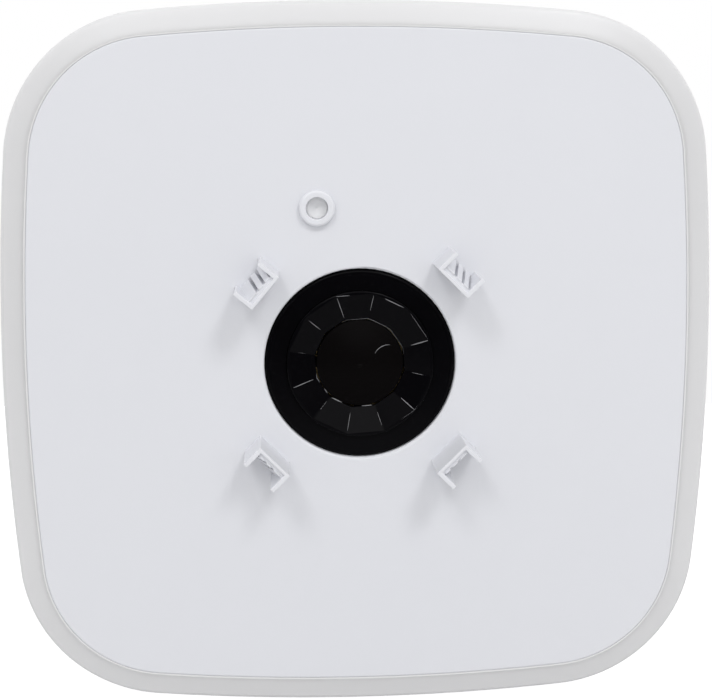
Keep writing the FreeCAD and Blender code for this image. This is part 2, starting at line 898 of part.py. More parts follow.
def front_panel():
    body = new_body()
    pad(body, panel_back, d.panel_thickness, outline, panel_inset)
    pocket(body, d.panel_depth, d.panel_thickness, circles, (0, 0, d.mouth_radius))
    rounded(body, d.panel_round, d.panel_depth, far_out(d.mouth_radius.value + 1))
    rounded(body, d.mouth_round, d.panel_depth, ring_of(d.mouth_radius.value))
    pad(body, d.panel_depth, d.collar_height, circles, (d.collar_x, d.collar_z, d.collar_radius))
    collar_front = d.panel_depth + d.collar_height
    rounded(body, d.collar_round, collar_front,
            ring_of(d.collar_radius.value, d.collar_x.value, d.collar_z.value))
    half = d.clip_width / 2
    near = d.clip_distance
    far = d.clip_distance + d.clip_reach
    mouth = near + d.clip_face
    pad(body, d.panel_depth, d.clip_height, clip_walls, near, far, half, mouth)
    tip = d.panel_depth + d.clip_height
    inner_half = half - d.clip_wall
    pocket(body, tip + over, d.clip_notch + over, clip_steps,
           near + d.clip_lip, mouth + over, inner_half)
    for turn in clip_turns():
        for number in range(3):
            low = -inner_half + d.rib_slot / 2 + number * (d.rib_width + d.rib_slot)
            width = d.rib_width if number < 2 else inner_half - low  # the last meets the side wall
            clip_rib(body, turn, mouth, low, width)
    for x, z in corners(housing_screw_place):
        pad(body, d.housing_screw_joint, panel_back - d.housing_screw_joint, circles,
            (x, z, d.panel_boss_radius))
    for x, z in sounder_ears:
        pad(body, cover_front, panel_back - cover_front, circles, (x, z, d.ear_radius))
    bore_end = panel_back - d.seal_thickness
    tools = [rod(x, z, d.screw_bore, d.housing_screw_joint - over, bore_end)
             for x, z in corners(housing_screw_place)]
    tools += [rod(x, z, d.screw_bore, cover_front - over, bore_end) for x, z in sounder_ears]
    tools.append(rod(d.collar_x, d.collar_z, d.collar_bore, panel_back - over, collar_front + over))
    node("front_panel", cut(body, *tools))


def sounder_bezel():
    body = new_body()
    step_front = d.bezel_depth - d.bezel_step_drop
    spun(body, [
        (d.bezel_bore, d.horn_flange_depth), (d.bezel_bore, d.bezel_depth),
        (d.bezel_step, d.bezel_depth), (d.bezel_step, step_front),
        (bezel_radius, step_front), (bezel_radius, bezel_flange_front),
        (d.sounder_flange_radius, bezel_flange_front),
        (d.sounder_flange_radius, bezel_flange_back),
        (bezel_radius, bezel_flange_back), (bezel_radius, cover_front),
        (skirt_radius, cover_front), (skirt_radius, d.horn_flange_depth),
    ])
    rounded(body, d.bezel_round, step_front, ring_of(bezel_radius.value))
    node("sounder_bezel", body)


def facet_ring(sketch, radius):
    """A regular polygon with twelve corners about the middle."""
    step = 30.0
    polygon(sketch, [turned(sized(0), sized(0), radius, d.facet_turn + step * corner)
                     for corner in range(12)])


def sounder_horn():
    body = new_body()
    spun(body, [
        (d.horn_bore, horn_back_depth), (d.horn_bore, d.horn_bore_depth),
        (0, d.horn_bore_depth), (0, d.horn_lip_depth),
        (horn_radius, d.horn_lip_depth), (horn_radius, d.horn_flange_depth),
        (horn_flange_radius, d.horn_flange_depth),
        (horn_flange_radius, horn_back_depth),
    ])
    rounded(body, d.horn_lip, d.horn_lip_depth, ring_of(horn_radius.value))
    doc.recompute()
    funnel = body.newObject("PartDesign::SubtractiveLoft", "funnel")
    wide = sketch_on(body, "XZ_Plane", d.horn_lip_depth)
    facet_ring(wide, horn_radius - d.horn_lip)
    throat = sketch_on(body, "XZ_Plane", d.throat_depth)
    facet_ring(throat, d.throat_radius)
    funnel.Profile = wide
    funnel.Sections = [throat]
    funnel.Ruled = True
    pocket(body, d.throat_depth + over, d.throat_depth - d.horn_bore_depth + 2 * over,
           facet_ring, d.throat_radius)
    node("sounder_horn", body)


def sounder_plug():
    """A dome in the throat, held by a cross of four arms behind the throat's ledge."""
    radius = d.throat_radius * math.cos(math.pi / 12) - d.plug_gap
    edge = d.throat_depth
    body = new_body()
    sketch = sketch_on(body, "XY_Plane")
    back = d.horn_bore_depth
    apex = edge + d.plug_rise
    ball = (radius * radius + d.plug_rise * d.plug_rise) / (2 * d.plug_rise)
    centre = Vector(0, -(apex - ball).value, 0)
    half_angle = math.asin(radius.value / ball.value)
    ends = [(0, back), (radius, back), (radius, edge), (0, apex)]
    corner = [Vector(sized(x).value, -sized(y).value, 0) for x, y in ends]
    sketch.addGeometry([
        Part.LineSegment(corner[3], corner[0]),
        Part.LineSegment(corner[0], corner[1]),
        Part.LineSegment(corner[1], corner[2]),
        Part.ArcOfCircle(Part.Circle(centre, Vector(0, 0, 1), ball.value),
                         -math.pi / 2, -math.pi / 2 + half_angle),
    ], False)
    joints = [(0, 2, 1, 1), (1, 2, 2, 1), (2, 2, 3, 2), (3, 1, 0, 1), (3, 3, -2)]
    for where in joints[:4]:
        sketch.addConstraint(Sketcher.Constraint("Coincident", *where))
    sketch.addConstraint(Sketcher.Constraint("PointOnObject", *joints[4]))
    place_point(sketch, 0, 1, 0, -apex)
    place_point(sketch, 1, 1, 0, -back)
    place_point(sketch, 2, 1, radius, -back)
    place_point(sketch, 2, 2, radius, -edge)
    feature = body.newObject("PartDesign::Revolution", "dome")
    feature.Profile = sketch
    feature.ReferenceAxis = (sketch, ["V_Axis"])
    feature.Angle = 360
    reach = d.plug_arm_length
    half = d.plug_arm / 2
    arm_back = back - d.plug_arm
    arms = [block(-reach, reach, -half, half, arm_back, back),
            block(-half, half, -reach, reach, arm_back, back)]
    node("sounder_plug", fuse(body, *arms))


def sounder_rest():
    inner = d.sounder_flange_radius - d.seal_width
    node("sounder_seal", tube(0, 0, inner, d.sounder_flange_radius, bezel_flange_front, panel_back))
    node("sounder_diaphragm", rod(0, 0, horn_flange_radius, cover_front, horn_back_depth))
    piezo_back = cover_front - d.diaphragm_thickness
    node("piezo_disc", rod(0, 0, d.piezo_radius, piezo_back, cover_front))
    flange_back_depth = cover_front - d.cover_flange
    solids = [rod(0, 0, d.cover_radius, d.cover_back_depth, cover_front),
              rod(0, 0, bezel_radius, flange_back_depth, cover_front)]
    for x, z in sounder_ears:
        solids.append(rod(x, z, d.ear_radius, flange_back_depth, cover_front))
    for turn in (d.clip_turn.value, d.clip_turn.value + 90):
        arm = block(-d.ear_distance, d.ear_distance, -d.ear_radius, d.ear_radius,
                    flange_back_depth, cover_front)
        arm.Placement.Rotation = Rotation(Vector(0, -1, 0), turn)
        east, up = turned(sized(0), sized(0), -d.ear_distance, turn)
        side_east, side_up = turned(sized(0), sized(0), -d.ear_radius, turn + 90)
        bind(arm, Placement__Base__x=east + side_east, Placement__Base__z=up + side_up)
        solids.append(arm)
    hollow = rod(0, 0, d.cover_radius - d.cover_wall, d.cover_back_depth + d.cover_wall,
                 cover_front + over)
    passes = [rod(x, z, d.screw_pass, flange_back_depth - over, cover_front + over)
              for x, z in sounder_ears]
    lead_hole = upright(0, lead_hole_depth, d.lead_spacing, 0, d.cover_radius + over)
    node("sounder_back_cover", cut(fuse(*solids), hollow, lead_hole, *passes))
    node("sounder_screws", group(*[
        screw_towards_front(x, z, flange_back_depth, panel_back - 2 * d.seal_thickness)
        for x, z in sounder_ears
    ]))


def outline_ring(name, outer_inset, inner_inset, back, front):
    body = new_body()
    pad(body, back, front - back, outline, outer_inset)
    pocket(body, front, front - back, outline, inner_inset)
    node(name, body)


def light_parts():
    outline_ring("frame_gasket", gasket_inset, gasket_inset + d.gasket_width,
                 d.seam_depth, reflector_back)
    outline_ring("light_reflector", gasket_inset, gasket_inset + d.reflector_width,
                 reflector_back, reflector_front)
    near = d.half_size - d.strip_inset - d.strip_width / 2
    far = near + d.strip_width
    middle = near + d.strip_width / 2
    sides = {
        "top": lambda along, across: (along, across),
        "bottom": lambda along, across: (along, -across),
        "right": lambda along, across: (across, along),
        "left": lambda along, across: (-across, along),
    }
    lights = []
    for side, turn in sides.items():
        x1, z1 = turn(-strip_end, near)
        x2, z2 = turn(strip_end, far)
        left, right = sorted((x1, x2), key=lambda size: size.value)
        low, high = sorted((z1, z2), key=lambda size: size.value)
        node("led_strip_" + side, block(left, right, low, high, reflector_front, strip_front))
        count = int(d.light_count.value)
        for number in range(count):
            along = (number - (count - 1) / 2) * d.light_spacing
            x, z = turn(along, middle)
            half = d.light_size / 2
            lights.append(block(x - half, x + half, z - half, z + half,
                                strip_front, strip_front + d.light_height))
    node("frame_lights", group(*lights))


def main_board():
    board = block(-d.main_board_half, d.main_board_half, main_low, main_high,
                  main_board_depth, main_front)
    holes = [rod(x, z, d.screw_pass, main_board_depth - over, main_front + over)
             for x, z in main_posts]
    node("main_board", cut(board, *holes))
    tip = main_front - d.board_screw_length
    node("main_board_screws", group(*[
        screw_towards_wall(x, z, main_front, tip) for x, z in main_posts
    ]))
    half_wide = d.shield_width / 2
    half_high = d.shield_length / 2
    shield = block(d.shield_x - half_wide, d.shield_x + half_wide, shield_z - half_high,
                   shield_z + half_high, main_front, main_front + d.shield_height)
    node("radio_shield", shield)
    back = main_board_depth - d.coil_height
    coil_z = main_middle + d.coil_rise
    core = [rod(d.coil_x, coil_z, d.coil_radius, back, back + d.coil_flange),
            rod(d.coil_x, coil_z, d.coil_core_radius, back, main_board_depth),
            rod(d.coil_x, coil_z, d.coil_radius, main_board_depth - d.coil_flange,
                main_board_depth)]
    node("step_up_coil", fuse(*core))
    node("driver_capacitors", group(*[
        rod(d.capacitor_x + number * d.capacitor_spacing, main_middle + d.capacitor_rise,
            d.capacitor_radius,
            main_board_depth - d.capacitor_height, main_board_depth)
        for number in (0, 1)
    ]))
    antennas = []
    for low in (shield_z - half_high, shield_z + half_high - d.antenna_thickness):
        start = d.shield_x + half_wide + d.board_edge
        foot = block(start, start + d.antenna_height, low, low + d.antenna_thickness,
                     main_front, main_front + d.antenna_height)
        blade = block(start, start + d.antenna_length, low, low + d.antenna_thickness,
                      main_front + d.antenna_height / 2, main_front + d.antenna_height)
        antennas.append(fuse(foot, blade))
    node("antennas", group(*antennas))
    half_chip = d.chip_side / 2
    chips = []
    for number in range(3):
        x = d.capacitor_x + (number - 1) * d.chip_spacing
        chips.append(block(x - half_chip, x + half_chip, shield_z - half_chip,
                           shield_z + half_chip, main_front, main_front + d.chip_height))
    node("main_chips", group(*chips))
    half_plug = d.plug_width / 2
    low = main_low
    sockets = [block(x - half_plug, x + half_plug, low, low + d.plug_height,
                     main_board_depth - d.plug_height, main_board_depth)
               for x in socket_places()]
    node("board_sockets", group(*sockets))


def socket_places():
    """Middles of the three sockets along the lower edge of the main board."""
    return [d.plug_spacing * number for number in (-1, 0, 1)]


def indicator():
    half = d.led_side / 2
    led_front = main_front + d.led_height
    node("indicator_led", block(d.collar_x - half, d.collar_x + half, d.collar_z - half,
                                d.collar_z + half, main_front, led_front))
    stem = rod(d.collar_x, d.collar_z, d.collar_bore - d.pipe_gap, led_front + d.pipe_back,
               d.panel_depth - d.pipe_recess)
    flange = rod(d.collar_x, d.collar_z, d.pipe_flange,
                 panel_back - d.pipe_flange_thickness, panel_back)
    node("indicator_light_pipe", fuse(stem, flange))


def battery():
    floor = floor_front
    top = floor + d.holder_height
    half = holder_half_width
    wall = d.holder_wall
    shell = block(-half, half, holder_low, holder_high, floor, top)
    slots = []
    cells = []
    contacts = []
    for row in (0, 1):
        z = d.cell_row_z - row * d.cell_spacing
        reach = d.cell_radius + d.cell_gap
        for side in (-1, 1):
            if side < 0:
                left = -wall / 2 - cell_slot
                right = -wall / 2
            else:
                left = wall / 2
                right = wall / 2 + cell_slot
            slots.append(block(left, right, z - reach, z + reach, floor + d.holder_floor,
                               top + over))
            start = left + d.contact_thickness + d.contact_bump
            barrel = cross_rod(start, start + d.cell_length, z, cell_depth, d.cell_radius)
            nub = cross_rod(start + d.cell_length, start + cell_span, z, cell_depth,
                            d.cell_nub_radius)
            cells.append(fuse(barrel, nub))
            side_half = d.contact_side / 2
            for face in (-1, 1):
                if face < 0:
                    inner = left + d.contact_thickness
                    plate = block(left, inner, z - side_half, z + side_half,
                                  cell_depth - side_half, cell_depth + side_half)
                    bump = cross_rod(inner, inner + d.contact_bump, z, cell_depth,
                                     d.cell_nub_radius)
                else:
                    inner = right - d.contact_thickness
                    plate = block(inner, right, z - side_half, z + side_half,
                                  cell_depth - side_half, cell_depth + side_half)
                    bump = cross_rod(inner - d.contact_bump, inner, z, cell_depth,
                                     d.cell_nub_radius)
                contacts.append(fuse(plate, bump))
    ears = []
    passes = []
    for side in (-1, 1):
        x = side * ear_x
        ears.append(block(x - d.holder_ear / 2, x + d.holder_ear / 2,
                          holder_middle - d.holder_ear / 2, holder_middle + d.holder_ear / 2,
                          floor, floor + d.holder_ear_thickness))
        passes.append(rod(x, holder_middle, d.screw_pass, floor - over,
                          floor + d.holder_ear_thickness + over))
    node("battery_holder", cut(fuse(shell, *ears), *slots, *passes))
    node("battery_contacts", group(*contacts))
    for number, cell in enumerate(cells, 1):
        node("battery_cell_%d" % number, cell)
    seat = floor + d.holder_ear_thickness
    node("battery_holder_screws", group(*[
        screw_towards_wall(side * ear_x, holder_middle, seat, seat - d.holder_screw_length)
        for side in (-1, 1)
    ]))


def rear_board():
    board = block(-d.rear_board_half, d.rear_board_half, d.rear_board_low, d.rear_board_high,
                  d.rear_board_depth, rear_front)
    holes = [rod(x, z, d.screw_pass, d.rear_board_depth - over, rear_front + over)
             for x, z in rear_posts]
    node("rear_board", cut(board, *holes))
    node("rear_board_screws", group(*[
        screw_towards_wall(x, z, rear_front, rear_front - d.rear_screw_length) for x, z in rear_posts
    ]))
    switch("power_switch", d.button_x, d.button_z,
           floor_front + d.button_flange_thickness + d.button_travel)
    switch("tamper_switch", d.plunger_x, d.plunger_z,
           floor_front + d.plunger_flange_thickness + d.plunger_travel)


def switch(name, x, z, pressed):
    """A switch whose stem begins just past the depth where its button ends its travel."""
    half = d.switch_side / 2
    stem_back = pressed + d.switch_spare
    body_back = stem_back + d.switch_stem_length
    body = block(x - half, x + half, z - half, z + half, body_back, d.rear_board_depth)
    node(name, fuse(body, rod(x, z, d.switch_stem, stem_back, body_back)))


def terminals():
    half_width = d.terminal_width / 2
    half_length = d.terminal_length / 2
    pitch = d.terminal_width / d.terminal_ways
    count = int(d.terminal_ways.value)
    block_solid = block(-half_width, half_width, d.terminal_z - half_length,
                        d.terminal_z + half_length, d.terminal_back, d.rear_board_depth)
    well_front = d.terminal_back + d.terminal_well_depth
    screw_back = well_front - d.terminal_screw_height
    wells = []
    screws = []
    for number in range(count):
        x = (number - (count - 1) / 2) * pitch
        z = d.terminal_z + d.terminal_well_rise
        wells.append(rod(x, z, d.terminal_well, d.terminal_back - over, well_front))
        head = rod(x, z, d.terminal_screw, screw_back, well_front)
        half_slot = d.terminal_slot / 2
        slot = block(x - d.terminal_screw, x + d.terminal_screw, z - half_slot, z + half_slot,
                     screw_back - over, screw_back + d.terminal_slot_depth)
        screws.append(cut(head, slot))
        mouth_low = d.terminal_z - half_length + d.terminal_rim
        half_mouth = d.terminal_mouth / 2
        wells.append(block(x - half_mouth, x + half_mouth, mouth_low,
                           mouth_low + d.terminal_mouth_height, d.terminal_back - over, well_front))
    node("terminal_block", cut(block_solid, *wells))
    node("terminal_screws", group(*screws))
    seal_width = half_width + d.terminal_seal
    seal_length = half_length + d.terminal_seal
    outer = block(-seal_width, seal_width, d.terminal_z - seal_length, d.terminal_z + seal_length,
                  d.recess_depth, floor_front + d.terminal_seal)
    lip_width = seal_width + d.terminal_seal_lip
    lip_length = seal_length + d.terminal_seal_lip
    lip = block(-lip_width, lip_width, d.terminal_z - lip_length, d.terminal_z + lip_length,
                floor_front, floor_front + d.terminal_seal)
    inner_width = half_width + d.terminal_seal_slack
    inner_length = half_length + d.terminal_seal_slack
    inner = block(-inner_width, inner_width, d.terminal_z - inner_length,
                  d.terminal_z + inner_length, 0, d.rear_board_depth)
    node("terminal_seal", cut(fuse(outer, lip), inner))


def power_button():
    front = floor_front + d.button_flange_thickness
    cap = rod(d.button_x, d.button_z, d.button_radius, d.recess_depth - d.button_proud, front)
    flange = rod(d.button_x, d.button_z, d.button_flange, floor_front, front)
    node("power_button", fuse(cap, flange))


def tamper_plunger():
    front = floor_front + d.plunger_flange_thickness
    tip = d.bracket_plate + d.plunger_rest_gap
    pin = rod(d.plunger_x, d.plunger_z, d.plunger_radius, tip, front)
    flange = rod(d.plunger_x, d.plunger_z, d.plunger_flange, floor_front, front)
    node("tamper_plunger", fuse(pin, flange))


def two_arcs(start, start_way, end, end_way):
    """Two arcs that leave start and reach end along given directions."""
    chord = end - start
    ways = start_way + end_way
    slack = 2 * (1 - start_way.dot(end_way))
    across = chord.dot(ways)
    leg = (math.sqrt(across * across + slack * chord.dot(chord)) - across) / slack
    first = start + start_way * leg
    last = end - end_way * leg
    meeting = (first + last) * 0.5
    return [arc_round(start, first, meeting), arc_round(meeting, last, end)]


def arc_round(start, corner, end):
    """The arc from start to end that touches both legs of the corner."""
    half_chord = (end - start) * 0.5
    leg = (corner - start).Length
    angle = math.acos(half_chord.Length / leg)
    rise = half_chord.Length / math.sin(angle) * (1 - math.cos(angle))
    middle = start + half_chord
    return Part.Arc(start, middle + (corner - middle).normalize() * rise, end)


def tamper_spring():
    """A coil round the switch, from the plunger's flange to the rear board."""
    wire = d.spring_wire.value
    radius = d.switch_side.value / math.sqrt(2) + d.spring_clearance.value + wire
    back = floor_front.value + d.plunger_flange_thickness.value
    height = d.rear_board_depth.value - back - 2 * wire
    quarter_turns = int(d.spring_turns.value * 4)
    climb = height / quarter_turns

    def point(step):
        angle = step * math.pi / 2
        return Vector(radius * math.cos(angle), radius * math.sin(angle), climb * step)

    def way(step):
        angle = step * math.pi / 2
        run = radius * math.pi / 2
        return Vector(-run * math.sin(angle), run * math.cos(angle), climb).normalize()

    arcs = []
    for step in range(quarter_turns):
        arcs += two_arcs(point(step), way(step), point(step + 1), way(step + 1))
    path = Part.Wire([arc.toShape() for arc in arcs])
    section = Part.Wire(Part.Circle(point(0), way(0), wire).toShape())
    spring = doc.addObject("Part::Feature", "spring")
    spring.Shape = path.makePipeShell([section], True, False)
    place = Vector(d.plunger_x.value, -back - wire, d.plunger_z.value)
    spring.Placement = Placement(place, Rotation(Vector(1, 0, 0), 90))
    node("tamper_spring", spring)


def housing_screws():
    node("housing_screws", group(*[
        screw_towards_front(x, z, housing_screw_seat, panel_back - 2 * d.seal_thickness)
        for x, z in corners(housing_screw_place)
    ]))


def bracket_lock_screw():
    """Backed out of the bracket, so the siren is free to twist."""
    tip = -(recess_radius + d.lock_tip_gap)
    head_top = tip - d.lock_length
    shank = upright(0, d.lock_depth, d.lock_shank, head_top, tip)
    head = upright(0, d.lock_depth, d.lock_head, head_top - d.lock_head_height, head_top)
    socket = upright(0, d.lock_depth, d.socket_radius, head_top - d.lock_head_height - over,
                     head_top - d.lock_head_height + d.socket_depth)
    node("bracket_lock_screw", cut(fuse(shank, head), socket))


def rear_label():
    half_width = d.label_width / 2
    half_height = d.label_height / 2
    node("rear_label", block(d.label_x - half_width, d.label_x + half_width,
                             d.label_z - half_height, d.label_z + half_height,
                             d.recess_depth - d.label_thickness, d.recess_depth))


def lead_shape(points, radius, bend):
    """A round wire along straight runs joined by tangent arcs."""
    edges = []
    start = points[0]
    for before, corner, after in zip(points, points[1:], points[2:]):
        into = (corner - before).normalize()
        out = (after - corner).normalize()
        turn = into.getAngle(out)
        back = bend * math.tan(turn / 2)
        leave = corner - into * back
        join = corner + out * back
        inward = (out - into).normalize()
        middle = corner + inward * (bend / math.cos(turn / 2) - bend)
        edges.append(Part.LineSegment(start, leave).toShape())
        edges.append(Part.Arc(leave, middle, join).toShape())
        start = join
    edges.append(Part.LineSegment(start, points[-1]).toShape())
    path = Part.Wire(edges)
    along = (points[1] - points[0]).normalize()
    section = Part.Wire(Part.Circle(points[0], along, radius).toShape())
    solid = path.makePipeShell([section], True, False)
    expected = math.pi * radius * radius * path.Length
    if abs(solid.Volume / expected - 1) > 0.02:
        raise ValueError("a lead's volume is wrong")
    return solid


def lead(name, routes, radius, bend):
    """Wires whose points are (x, z, depth)."""
    wires = []
    for route in routes:
        points = [Vector(sized(x).value, -sized(depth).value, sized(z).value)
                  for x, z, depth in route]
        wires.append(lead_shape(points, radius.value, bend.value))
    thing = doc.addObject("Part::Feature", "lead")
    thing.Shape = Part.makeCompound(wires)
    node(name, thing)


def leads():
    link_socket, sounder_socket, battery_socket = socket_places()
    depth = main_board_depth - d.plug_height / 2
    edge = main_low
    half_pitch = d.lead_spacing / 2
    above_cover = edge - 2 * d.lead_bend - d.lead_gap
    behind_piezo = cover_front - d.diaphragm_thickness
    lead("sounder_leads", [
        [(sounder_socket + side * half_pitch, edge, depth),
         (sounder_socket + side * half_pitch, above_cover, depth),
         (sounder_socket + side * half_pitch, above_cover, lead_hole_depth),
         (sounder_socket + side * half_pitch, d.piezo_radius / 2, lead_hole_depth),
         (sounder_socket + side * half_pitch, d.piezo_radius / 2, behind_piezo)]
        for side in (-1, 1)
    ], d.lead_radius, d.lead_bend)
    turn_z = edge - d.lead_bend - half_pitch - d.lead_gap
    lead("battery_leads", [
        [(battery_socket + side * half_pitch, edge, depth),
         (battery_socket + side * half_pitch, turn_z + side * half_pitch, depth),
         (d.battery_lead_x + side * half_pitch, turn_z + side * half_pitch, depth),
         (d.battery_lead_x + side * half_pitch, holder_high, depth)]
        for side in (-1, 1)
    ], d.lead_radius, d.lead_bend)
    count = int(d.link_lead_count.value)
    middle_depth = d.rear_board_depth + d.board_thickness / 2
    lead("board_link_leads", [
        [(link_socket + shift * d.lead_spacing, edge, depth),
         (link_socket + shift * d.lead_spacing, above_cover, depth),
         (link_socket + shift * d.lead_spacing, above_cover, middle_depth),
         (link_socket + shift * d.lead_spacing, d.rear_board_high, middle_depth)]
        for shift in [number - (count - 1) / 2 for number in range(count)]
    ], d.lead_radius, d.lead_bend)
    board_middle = main_board_depth + d.board_thickness / 2
    strip_middle = d.half_size - d.strip_inset
    strip_rest = strip_front + d.lead_radius
    strip_low = strip_middle - d.strip_width / 2
    lead("light_leads", [
        [(d.strip_lead_x + side * half_pitch, main_high, board_middle),
         (d.strip_lead_x + side * half_pitch, main_high + d.strip_lead_run, board_middle),
         (d.strip_lead_x + side * half_pitch, strip_low - d.strip_lead_run, strip_rest),
         (d.strip_lead_x + side * half_pitch, strip_middle, strip_rest)]
        for side in (-1, 1)
    ], d.lead_radius, d.lead_bend)
    # each link bends before the corner, a space inside the light frame's wall
    bend_reach = d.corner_radius - d.frame_wall - d.strip_link_space
    rise = strip_middle - corner_centre()
    bend_at = corner_centre() + root(bend_reach * bend_reach - rise * rise)
    link_depth = reflector_front + d.strip_link_radius
    lead("light_links", [
        [(right * strip_end, up * strip_middle, link_depth),
         (right * bend_at, up * strip_middle, link_depth),
         (right * strip_middle, up * bend_at, link_depth),
         (right * strip_middle, up * strip_end, link_depth)]
        for right, up in ((1, 1), (1, -1), (-1, -1))
    ], d.strip_link_radius, d.strip_link_bend)


def check_and_write():
    doc.recompute()
    for thing in doc.Objects:
        if "Invalid" in thing.State or "Error" in thing.State:
            raise ValueError("%s failed: %s" % (thing.Label, thing.State))
    for name, thing in nodes.items():
        if thing.Shape.isNull() or not thing.Shape.isValid():
            raise ValueError("%s has a bad shape" % name)
        if thing.Shape.Volume <= 0:
            raise ValueError("%s is empty" % name)
    os.makedirs("parts", exist_ok=True)
    for name, thing in nodes.items():
        thing.Shape.exportStep("parts/%s.step" % name)
    print("%d pieces written" % len(nodes))


wall_bracket()
rear_housing()
light_frame()
front_panel()
sounder_bezel()
sounder_horn()
sounder_plug()
sounder_rest()
light_parts()
main_board()
indicator()
battery()
rear_board()
terminals()
power_button()
tamper_plunger()
tamper_spring()
housing_screws()
bracket_lock_screw()
rear_label()
leads()
check_and_write()
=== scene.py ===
import bpy
import bmesh
import json
import math
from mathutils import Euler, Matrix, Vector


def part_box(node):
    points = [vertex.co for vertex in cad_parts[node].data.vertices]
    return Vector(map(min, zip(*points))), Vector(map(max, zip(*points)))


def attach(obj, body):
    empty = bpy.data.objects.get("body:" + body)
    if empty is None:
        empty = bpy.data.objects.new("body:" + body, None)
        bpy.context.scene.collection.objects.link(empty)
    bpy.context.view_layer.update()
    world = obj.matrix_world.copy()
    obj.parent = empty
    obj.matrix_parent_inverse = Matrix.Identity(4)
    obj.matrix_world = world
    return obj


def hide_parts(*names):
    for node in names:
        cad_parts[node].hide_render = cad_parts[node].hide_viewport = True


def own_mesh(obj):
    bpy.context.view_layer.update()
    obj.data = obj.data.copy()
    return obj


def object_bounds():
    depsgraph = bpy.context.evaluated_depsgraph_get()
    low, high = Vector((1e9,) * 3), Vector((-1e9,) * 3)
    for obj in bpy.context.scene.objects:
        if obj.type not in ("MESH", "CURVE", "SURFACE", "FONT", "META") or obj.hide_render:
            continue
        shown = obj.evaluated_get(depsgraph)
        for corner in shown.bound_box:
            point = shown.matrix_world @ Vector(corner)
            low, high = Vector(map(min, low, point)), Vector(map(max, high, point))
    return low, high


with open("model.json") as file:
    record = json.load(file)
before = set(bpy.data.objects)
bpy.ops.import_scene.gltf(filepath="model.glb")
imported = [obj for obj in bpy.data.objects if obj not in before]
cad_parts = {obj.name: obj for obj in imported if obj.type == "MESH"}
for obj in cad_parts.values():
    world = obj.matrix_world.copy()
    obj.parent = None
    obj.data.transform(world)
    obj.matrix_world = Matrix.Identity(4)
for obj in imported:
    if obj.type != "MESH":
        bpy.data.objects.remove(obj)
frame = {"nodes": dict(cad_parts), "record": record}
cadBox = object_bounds()
nodes = frame["nodes"]
scene = bpy.context.scene
print("siren loaded:", len(nodes), "nodes")


# camera, as the photograph was taken
cameraView = {
    "place": (-0.02286, -0.42855, 0.06948),
    "turn": (80.547, 0.161, -3.185),
    "lens": 71.8,
    "near": 0.01,
}
camera = bpy.data.objects.new("camera", bpy.data.cameras.new("camera"))
scene.collection.objects.link(camera)
camera.location = cameraView["place"]
camera.rotation_euler = Euler([math.radians(a) for a in cameraView["turn"]])
camera.data.lens = cameraView["lens"]
camera.data.clip_start = cameraView["near"]
scene.camera = camera
scene.view_settings.view_transform = "Standard"


# small helpers for shader nodes
def openMaterial(name):
    material = bpy.data.materials.new(name)
    material.use_nodes = True
    material.node_tree.nodes.clear()
    return material, material.node_tree


def link(tree, source, target):
    tree.links.new(source, target)


def openGroup(name, inputs, outputs):
    group = bpy.data.node_groups.new(name, "ShaderNodeTree")
    for label, kind, value in inputs:
        socket = group.interface.new_socket(name=label, in_out="INPUT", socket_type=kind)
        socket.default_value = value
    for label, kind in outputs:
        group.interface.new_socket(name=label, in_out="OUTPUT", socket_type=kind)
    return group, group.nodes.new("NodeGroupInput"), group.nodes.new("NodeGroupOutput")


def place(tree, group, **values):
    node = tree.nodes.new("ShaderNodeGroup")
    node.node_tree = group
    for label, value in values.items():
        node.inputs[label].default_value = value
    return node


def maths(tree, operation, first, second=None, clamp=False):
    node = tree.nodes.new("ShaderNodeMath")
    node.operation = operation
    node.use_clamp = clamp
    for socket, value in zip(node.inputs, (first, second)):
        if value is None:
            continue
        if isinstance(value, (int, float)):
            socket.default_value = value
        else:
            link(tree, value, socket)
    return node.outputs[0]


def mixColour(tree, factor, first, second):
    node = tree.nodes.new("ShaderNodeMix")
    node.data_type = "RGBA"
    for label, value in (("Factor_Float", factor), ("A_Color", first), ("B_Color", second)):
        socket = next(s for s in node.inputs if s.identifier == label)
        if isinstance(value, (int, float)):
            socket.default_value = value
        elif isinstance(value, tuple):
            socket.default_value = (*value, 1)
        else:
            link(tree, value, socket)
    return next(s for s in node.outputs if s.identifier == "Result_Color")


def ramp(tree, source, low, high):
    node = tree.nodes.new("ShaderNodeMapRange")
    node.inputs["From Min"].default_value = low
    node.inputs["From Max"].default_value = high
    link(tree, source, node.inputs["Value"])
    return node.outputs["Result"]


def noise(tree, coordinates, scale, detail=3.0, roughness=0.5):
    node = tree.nodes.new("ShaderNodeTexNoise")
    node.inputs["Detail"].default_value = detail
    node.inputs["Roughness"].default_value = roughness
    link(tree, coordinates, node.inputs["Vector"])
    if isinstance(scale, (int, float)):
        node.inputs["Scale"].default_value = scale
    else:
        link(tree, scale, node.inputs["Scale"])
    return node.outputs["Fac"]


def objectPoint(tree):
    return tree.nodes.new("ShaderNodeTexCoord").outputs["Object"]


def axes(tree, source):
    node = tree.nodes.new("ShaderNodeSeparateXYZ")
    link(tree, source, node.inputs[0])
    return node.outputs


def facing(tree):
    return tree.nodes.new("ShaderNodeNewGeometry").outputs["Normal"]


def spread(tree, source, times, start):  # start, and more of it where the source is high
    value = maths(tree, "MULTIPLY_ADD", source, times)
    value.node.inputs[2].default_value = start
    return value


def bumpFrom(tree, height, strength, distance):
    node = tree.nodes.new("ShaderNodeBump")
    node.inputs["Strength"].default_value = strength
    node.inputs["Distance"].default_value = distance
    link(tree, height, node.inputs["Height"])
    return node


def paintOver(tree, shader, mask, colour):  # a second colour where the mask is 1
    under = shader.inputs["Base Color"].links[0].from_socket
    link(tree, mixColour(tree, mask, under, colour), shader.inputs["Base Color"])


